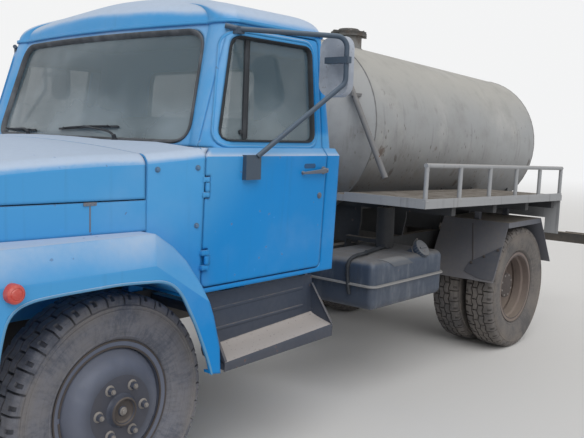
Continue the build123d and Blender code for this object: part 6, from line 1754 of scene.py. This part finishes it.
class TANKER_OT_steps_and_seats(bpy.types.Operator):
    """Fold the side steps, and upholster the bench"""

    bl_idname = "tanker.steps_and_seats"
    bl_label = "Steps and seats"

    step_front = 1.782
    step_rear = 1.010
    step_outer = 1.150
    step_inner = 1.000
    riser_top = 0.905
    riser_lines = (0.838, 0.745)
    line_fall = 0.014
    sheet_wall = 0.006
    # Heights at the front end and at the rear end: tread at the riser, tread at its edge, foot of the lip
    tread_inner = (0.654, 0.700)
    tread_outer = (0.622, 0.664)
    lip_foot = (0.581, 0.600)
    bracket_x = (1.150, 1.600)
    bracket_ends = (0.382, 0.997)
    bracket_z = 0.770
    # Bench: places of the sewn channels, their width and depth, and how far the pads are crowned
    channels = np.arange(-0.70, 0.71, 0.14)
    channel_width, channel_depth, crown = 0.010, 0.009, 0.010

    def section(self, share, wobble):
        """Sheet at a share of the way from the front end to the rear: its upper and its lower side."""
        inner, outer, foot = (low + share * (high - low) for low, high in
                              (self.tread_inner, self.tread_outer, self.lip_foot))
        y0, y1, nose, fall = self.step_inner, self.step_outer, 0.012, inner - outer
        upper = np.array([
            (y0, self.riser_top), (y0 + 0.003, 0.820), (y0 + 0.006, 0.740), (y0 + 0.008, inner + 0.006),
            (y0 + 0.014, inner), (y0 + 0.050, inner - 0.36 * fall + wobble),
            (y0 + 0.095, inner - 0.68 * fall - wobble), (y1 - nose, outer + 0.002),
            (y1 - 0.004, outer - 0.002), (y1, outer - nose), (y1 + 0.0005, 0.5 * (outer + foot)), (y1, foot),
        ])
        along = unit(np.gradient(upper, axis=0))
        return upper, upper - self.sheet_wall * np.stack([-along[:, 1], along[:, 0]], -1)

    def station(self, share):
        """Length at a share of the way from the step's front end to its rear."""
        return self.step_front + share * (self.step_rear - self.step_front)

    def step(self, side, shape):
        """Folded sheet lofted from end to end, two end plates with a folded edge, and two brackets."""
        rings = []
        for share in np.linspace(0.0, 1.0, 25):
            upper, lower = self.section(share, 0.0012 * math.sin(17 * share) * math.sin(math.pi * share))
            ring = np.concatenate([upper, lower[::-1]])
            x = np.full(len(ring), self.station(share))
            rings.append(np.column_stack([x, side * ring[:, 0], ring[:, 1]]))
        count, half = len(rings[0]), len(rings[0]) // 2
        faces = grid_faces(len(rings), count).tolist()
        for first in (0, (len(rings) - 1) * count):
            last = first + count - 1
            faces += [[first + i, first + i + 1, last - 1 - i, last - i] for i in range(half - 1)]
        shape.add(rings, faces)
        for share, inward in ((0.0, -1.0), (1.0, 1.0)):
            self.end_plate(self.station(share), self.section(share, 0.0)[0], inward, side, shape)
        for x in self.bracket_x:
            path = [(x, side * y, self.bracket_z) for y in self.bracket_ends]
            shape.add(*carried(path, AHEAD, UP, block_outline(0.050, 0.050, 0.006)))

    def end_plate(self, x, upper, inward, side, shape):
        """Plate that closes one end of the step under its sheet, with the folded edge along its slope."""
        top = upper[0, 1] - 0.046
        edge = self.step_outer + 0.001
        shoulder = upper[8, 1] + 0.006
        outline = [(0.993, top), (1.010, top), (edge, shoulder), (edge, upper[-1, 1] + 0.012),
                   (edge - 0.014, upper[-1, 1]), (0.993, upper[3, 1] - 0.030)]
        outline = denser([(0.0, y, z) for y, z in outline], 0.03, closed=True)
        shape.add(*lofted([outline * (1, side, 1) + (place, 0, 0) for place in (x, x + 0.005 * inward)]))
        fold = [(x + 0.0005 * inward, side * y, z) for y, z in ((1.010, top), (edge, shoulder))]
        strip = [(-0.001, -0.0015), (0.013, -0.0015), (0.013, 0.0015), (-0.001, 0.0015)]
        shape.add(*carried(fold, (inward, 0.0, 0.0), (0.0, side * 0.80, 0.60), strip))

    def execute(self, context):
        section = [(-0.011, -0.002), (-0.006, 0.0028), (0.0, 0.0042), (0.006, 0.0028), (0.011, -0.002)]
        front, rear = self.step_front - 0.055, self.step_rear + 0.075
        places = np.linspace(front, rear, 16)
        fall = self.line_fall * (places - rear) / (front - rear)
        for label, side in SIDES.items():
            sheet = Shape()
            self.step(side, sheet)
            sheet.piece("side_step_" + label, "step_paint", "truck", "step_paint", sharp=30.0,
                        stands_for=["side_steps"])
            press = Shape()
            for z in self.riser_lines:
                behind = self.step_inner + 0.037 * (self.riser_top - z + fall)
                path = np.stack([places, side * behind, z - fall], -1)
                press.add(*carried(path, UP, (0.0, side, 0.0), section))
            press.piece("riser_lines_" + label, "step_paint", "truck", "step_paint", sharp=60.0)
        self.bench()
        return {"FINISHED"}

    def pad(self, name, half, centre, tilt):
        """Crowned pad |x|^n + |y|^n + |z|^n = 1, with sewn channels pressed into its upper face."""
        rows, columns, square = 64, 168, 0.34
        rise = np.linspace(-np.pi / 2, np.pi / 2, rows)[:, None]
        turn = (np.arange(columns) * 2 * np.pi / columns)[None]

        def swell(value):
            """Sine or cosine raised to the pad's squareness, with its sign."""
            return np.sign(value) * np.abs(value) ** square

        x = half[0] * swell(np.cos(rise)) * swell(np.cos(turn))
        y = half[1] * swell(np.cos(rise)) * swell(np.sin(turn))
        z = half[2] * swell(np.sin(rise)) * np.ones_like(turn)
        inward = sum(np.exp(-((y - place) / self.channel_width) ** 2) for place in self.channels)
        flat = np.clip(1 - (np.abs(x) / half[0]) ** 8, 0, 1)
        z = z + self.crown * (1 - (x / half[0]) ** 2) * (1 - (y / half[1]) ** 2) * np.sign(z)
        z = z - self.channel_depth * inward * flat * (z > 0)
        spin = np.array(Matrix.Rotation(math.radians(tilt), 3, "Y"))
        points = np.stack([x, y, z], -1) @ spin.T + np.asarray(centre)
        pad = Shape().add(points, grid_faces(rows, columns))
        pad = pad.piece(name, "seat_cover", "truck", "seat_cover", sharp=80.0)
        return pad

    def bench(self):
        """Padded cushion and back on a plain stand with three plates on its front."""
        cushion = self.pad("seat_cushion", (0.238, 0.832, 0.052), (1.322, 0.0, 1.232), -4.0)
        back = self.pad("seat_back", (0.245, 0.832, 0.046), (1.052, 0.0, 1.470), 81.5)
        outline = block_outline(0.420, 1.400, 0.030, 6)
        rings = [(0.968, 0.000), (0.974, 0.006), (1.170, 0.006), (1.178, 0.000)]
        points = [np.column_stack([outline * (1 + grow / 0.7) + (1.300, 0.0), np.full(len(outline), z)])
                  for z, grow in rings]
        stand = Shape().add(*lofted(points))
        outline = block_outline(0.34, 0.13, 0.03, 4)
        for y in (-0.45, 0.0, 0.45):
            plate(outline, 0.003, (1.5115, y, 1.075), LEFTWARD, UP, stand)
        stand = stand.piece("seat_stand", "chassis_paint", "truck", "chassis_paint")
        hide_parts("seats")
        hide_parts("seats")
        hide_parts("seats")


class TANKER_PT_panel(bpy.types.Panel):
    """List the operators, the sizes and the colours"""

    bl_idname = "TANKER_PT_panel"
    bl_label = "Tanker truck"
    bl_space_type = "VIEW_3D"
    bl_region_type = "UI"
    bl_category = "Tanker truck"

    def draw(self, context):
        for step in STEPS:
            self.layout.operator(step.bl_idname)
        for name, group in GROUPS.items():
            box = self.layout.box()
            for key in group.__annotations__:
                box.prop(getattr(context.scene, name), key)


STEPS = (
    TANKER_OT_studio,
    TANKER_OT_finishes,
    TANKER_OT_tyres,
    TANKER_OT_window_seals,
    TANKER_OT_door_trim,
    TANKER_OT_wipers,
    TANKER_OT_cab_fittings,
    TANKER_OT_lamps,
    TANKER_OT_wheel_trim,
    TANKER_OT_tank_fittings,
    TANKER_OT_rear_fittings,
    TANKER_OT_fuel_fittings,
    TANKER_OT_steps_and_seats,
)
GROUPS = {"tanker_colours": TankerColours, "tanker_sizes": TankerSizes, "tanker_studio": TankerStudio}


def register():
    """Add the settings, the operators and the panel to Blender."""
    for group in GROUPS.values():
        bpy.utils.register_class(group)
    for name, group in GROUPS.items():
        setattr(bpy.types.Scene, name, PointerProperty(type=group))
    for step in STEPS:
        bpy.utils.register_class(step)
    bpy.utils.register_class(TANKER_PT_panel)


def unregister():
    """Take the panel, the operators and the settings out of Blender again."""
    bpy.utils.unregister_class(TANKER_PT_panel)
    for step in reversed(STEPS):
        bpy.utils.unregister_class(step)
    for name, group in GROUPS.items():
        delattr(bpy.types.Scene, name)
        bpy.utils.unregister_class(group)


def main():
    """Run every step in turn."""
    register()
    for step in STEPS:
        area, name = step.bl_idname.split(".")
        getattr(getattr(bpy.ops, area), name)()
    bpy.context.view_layer.update()


if __name__ == "__main__":
    main()
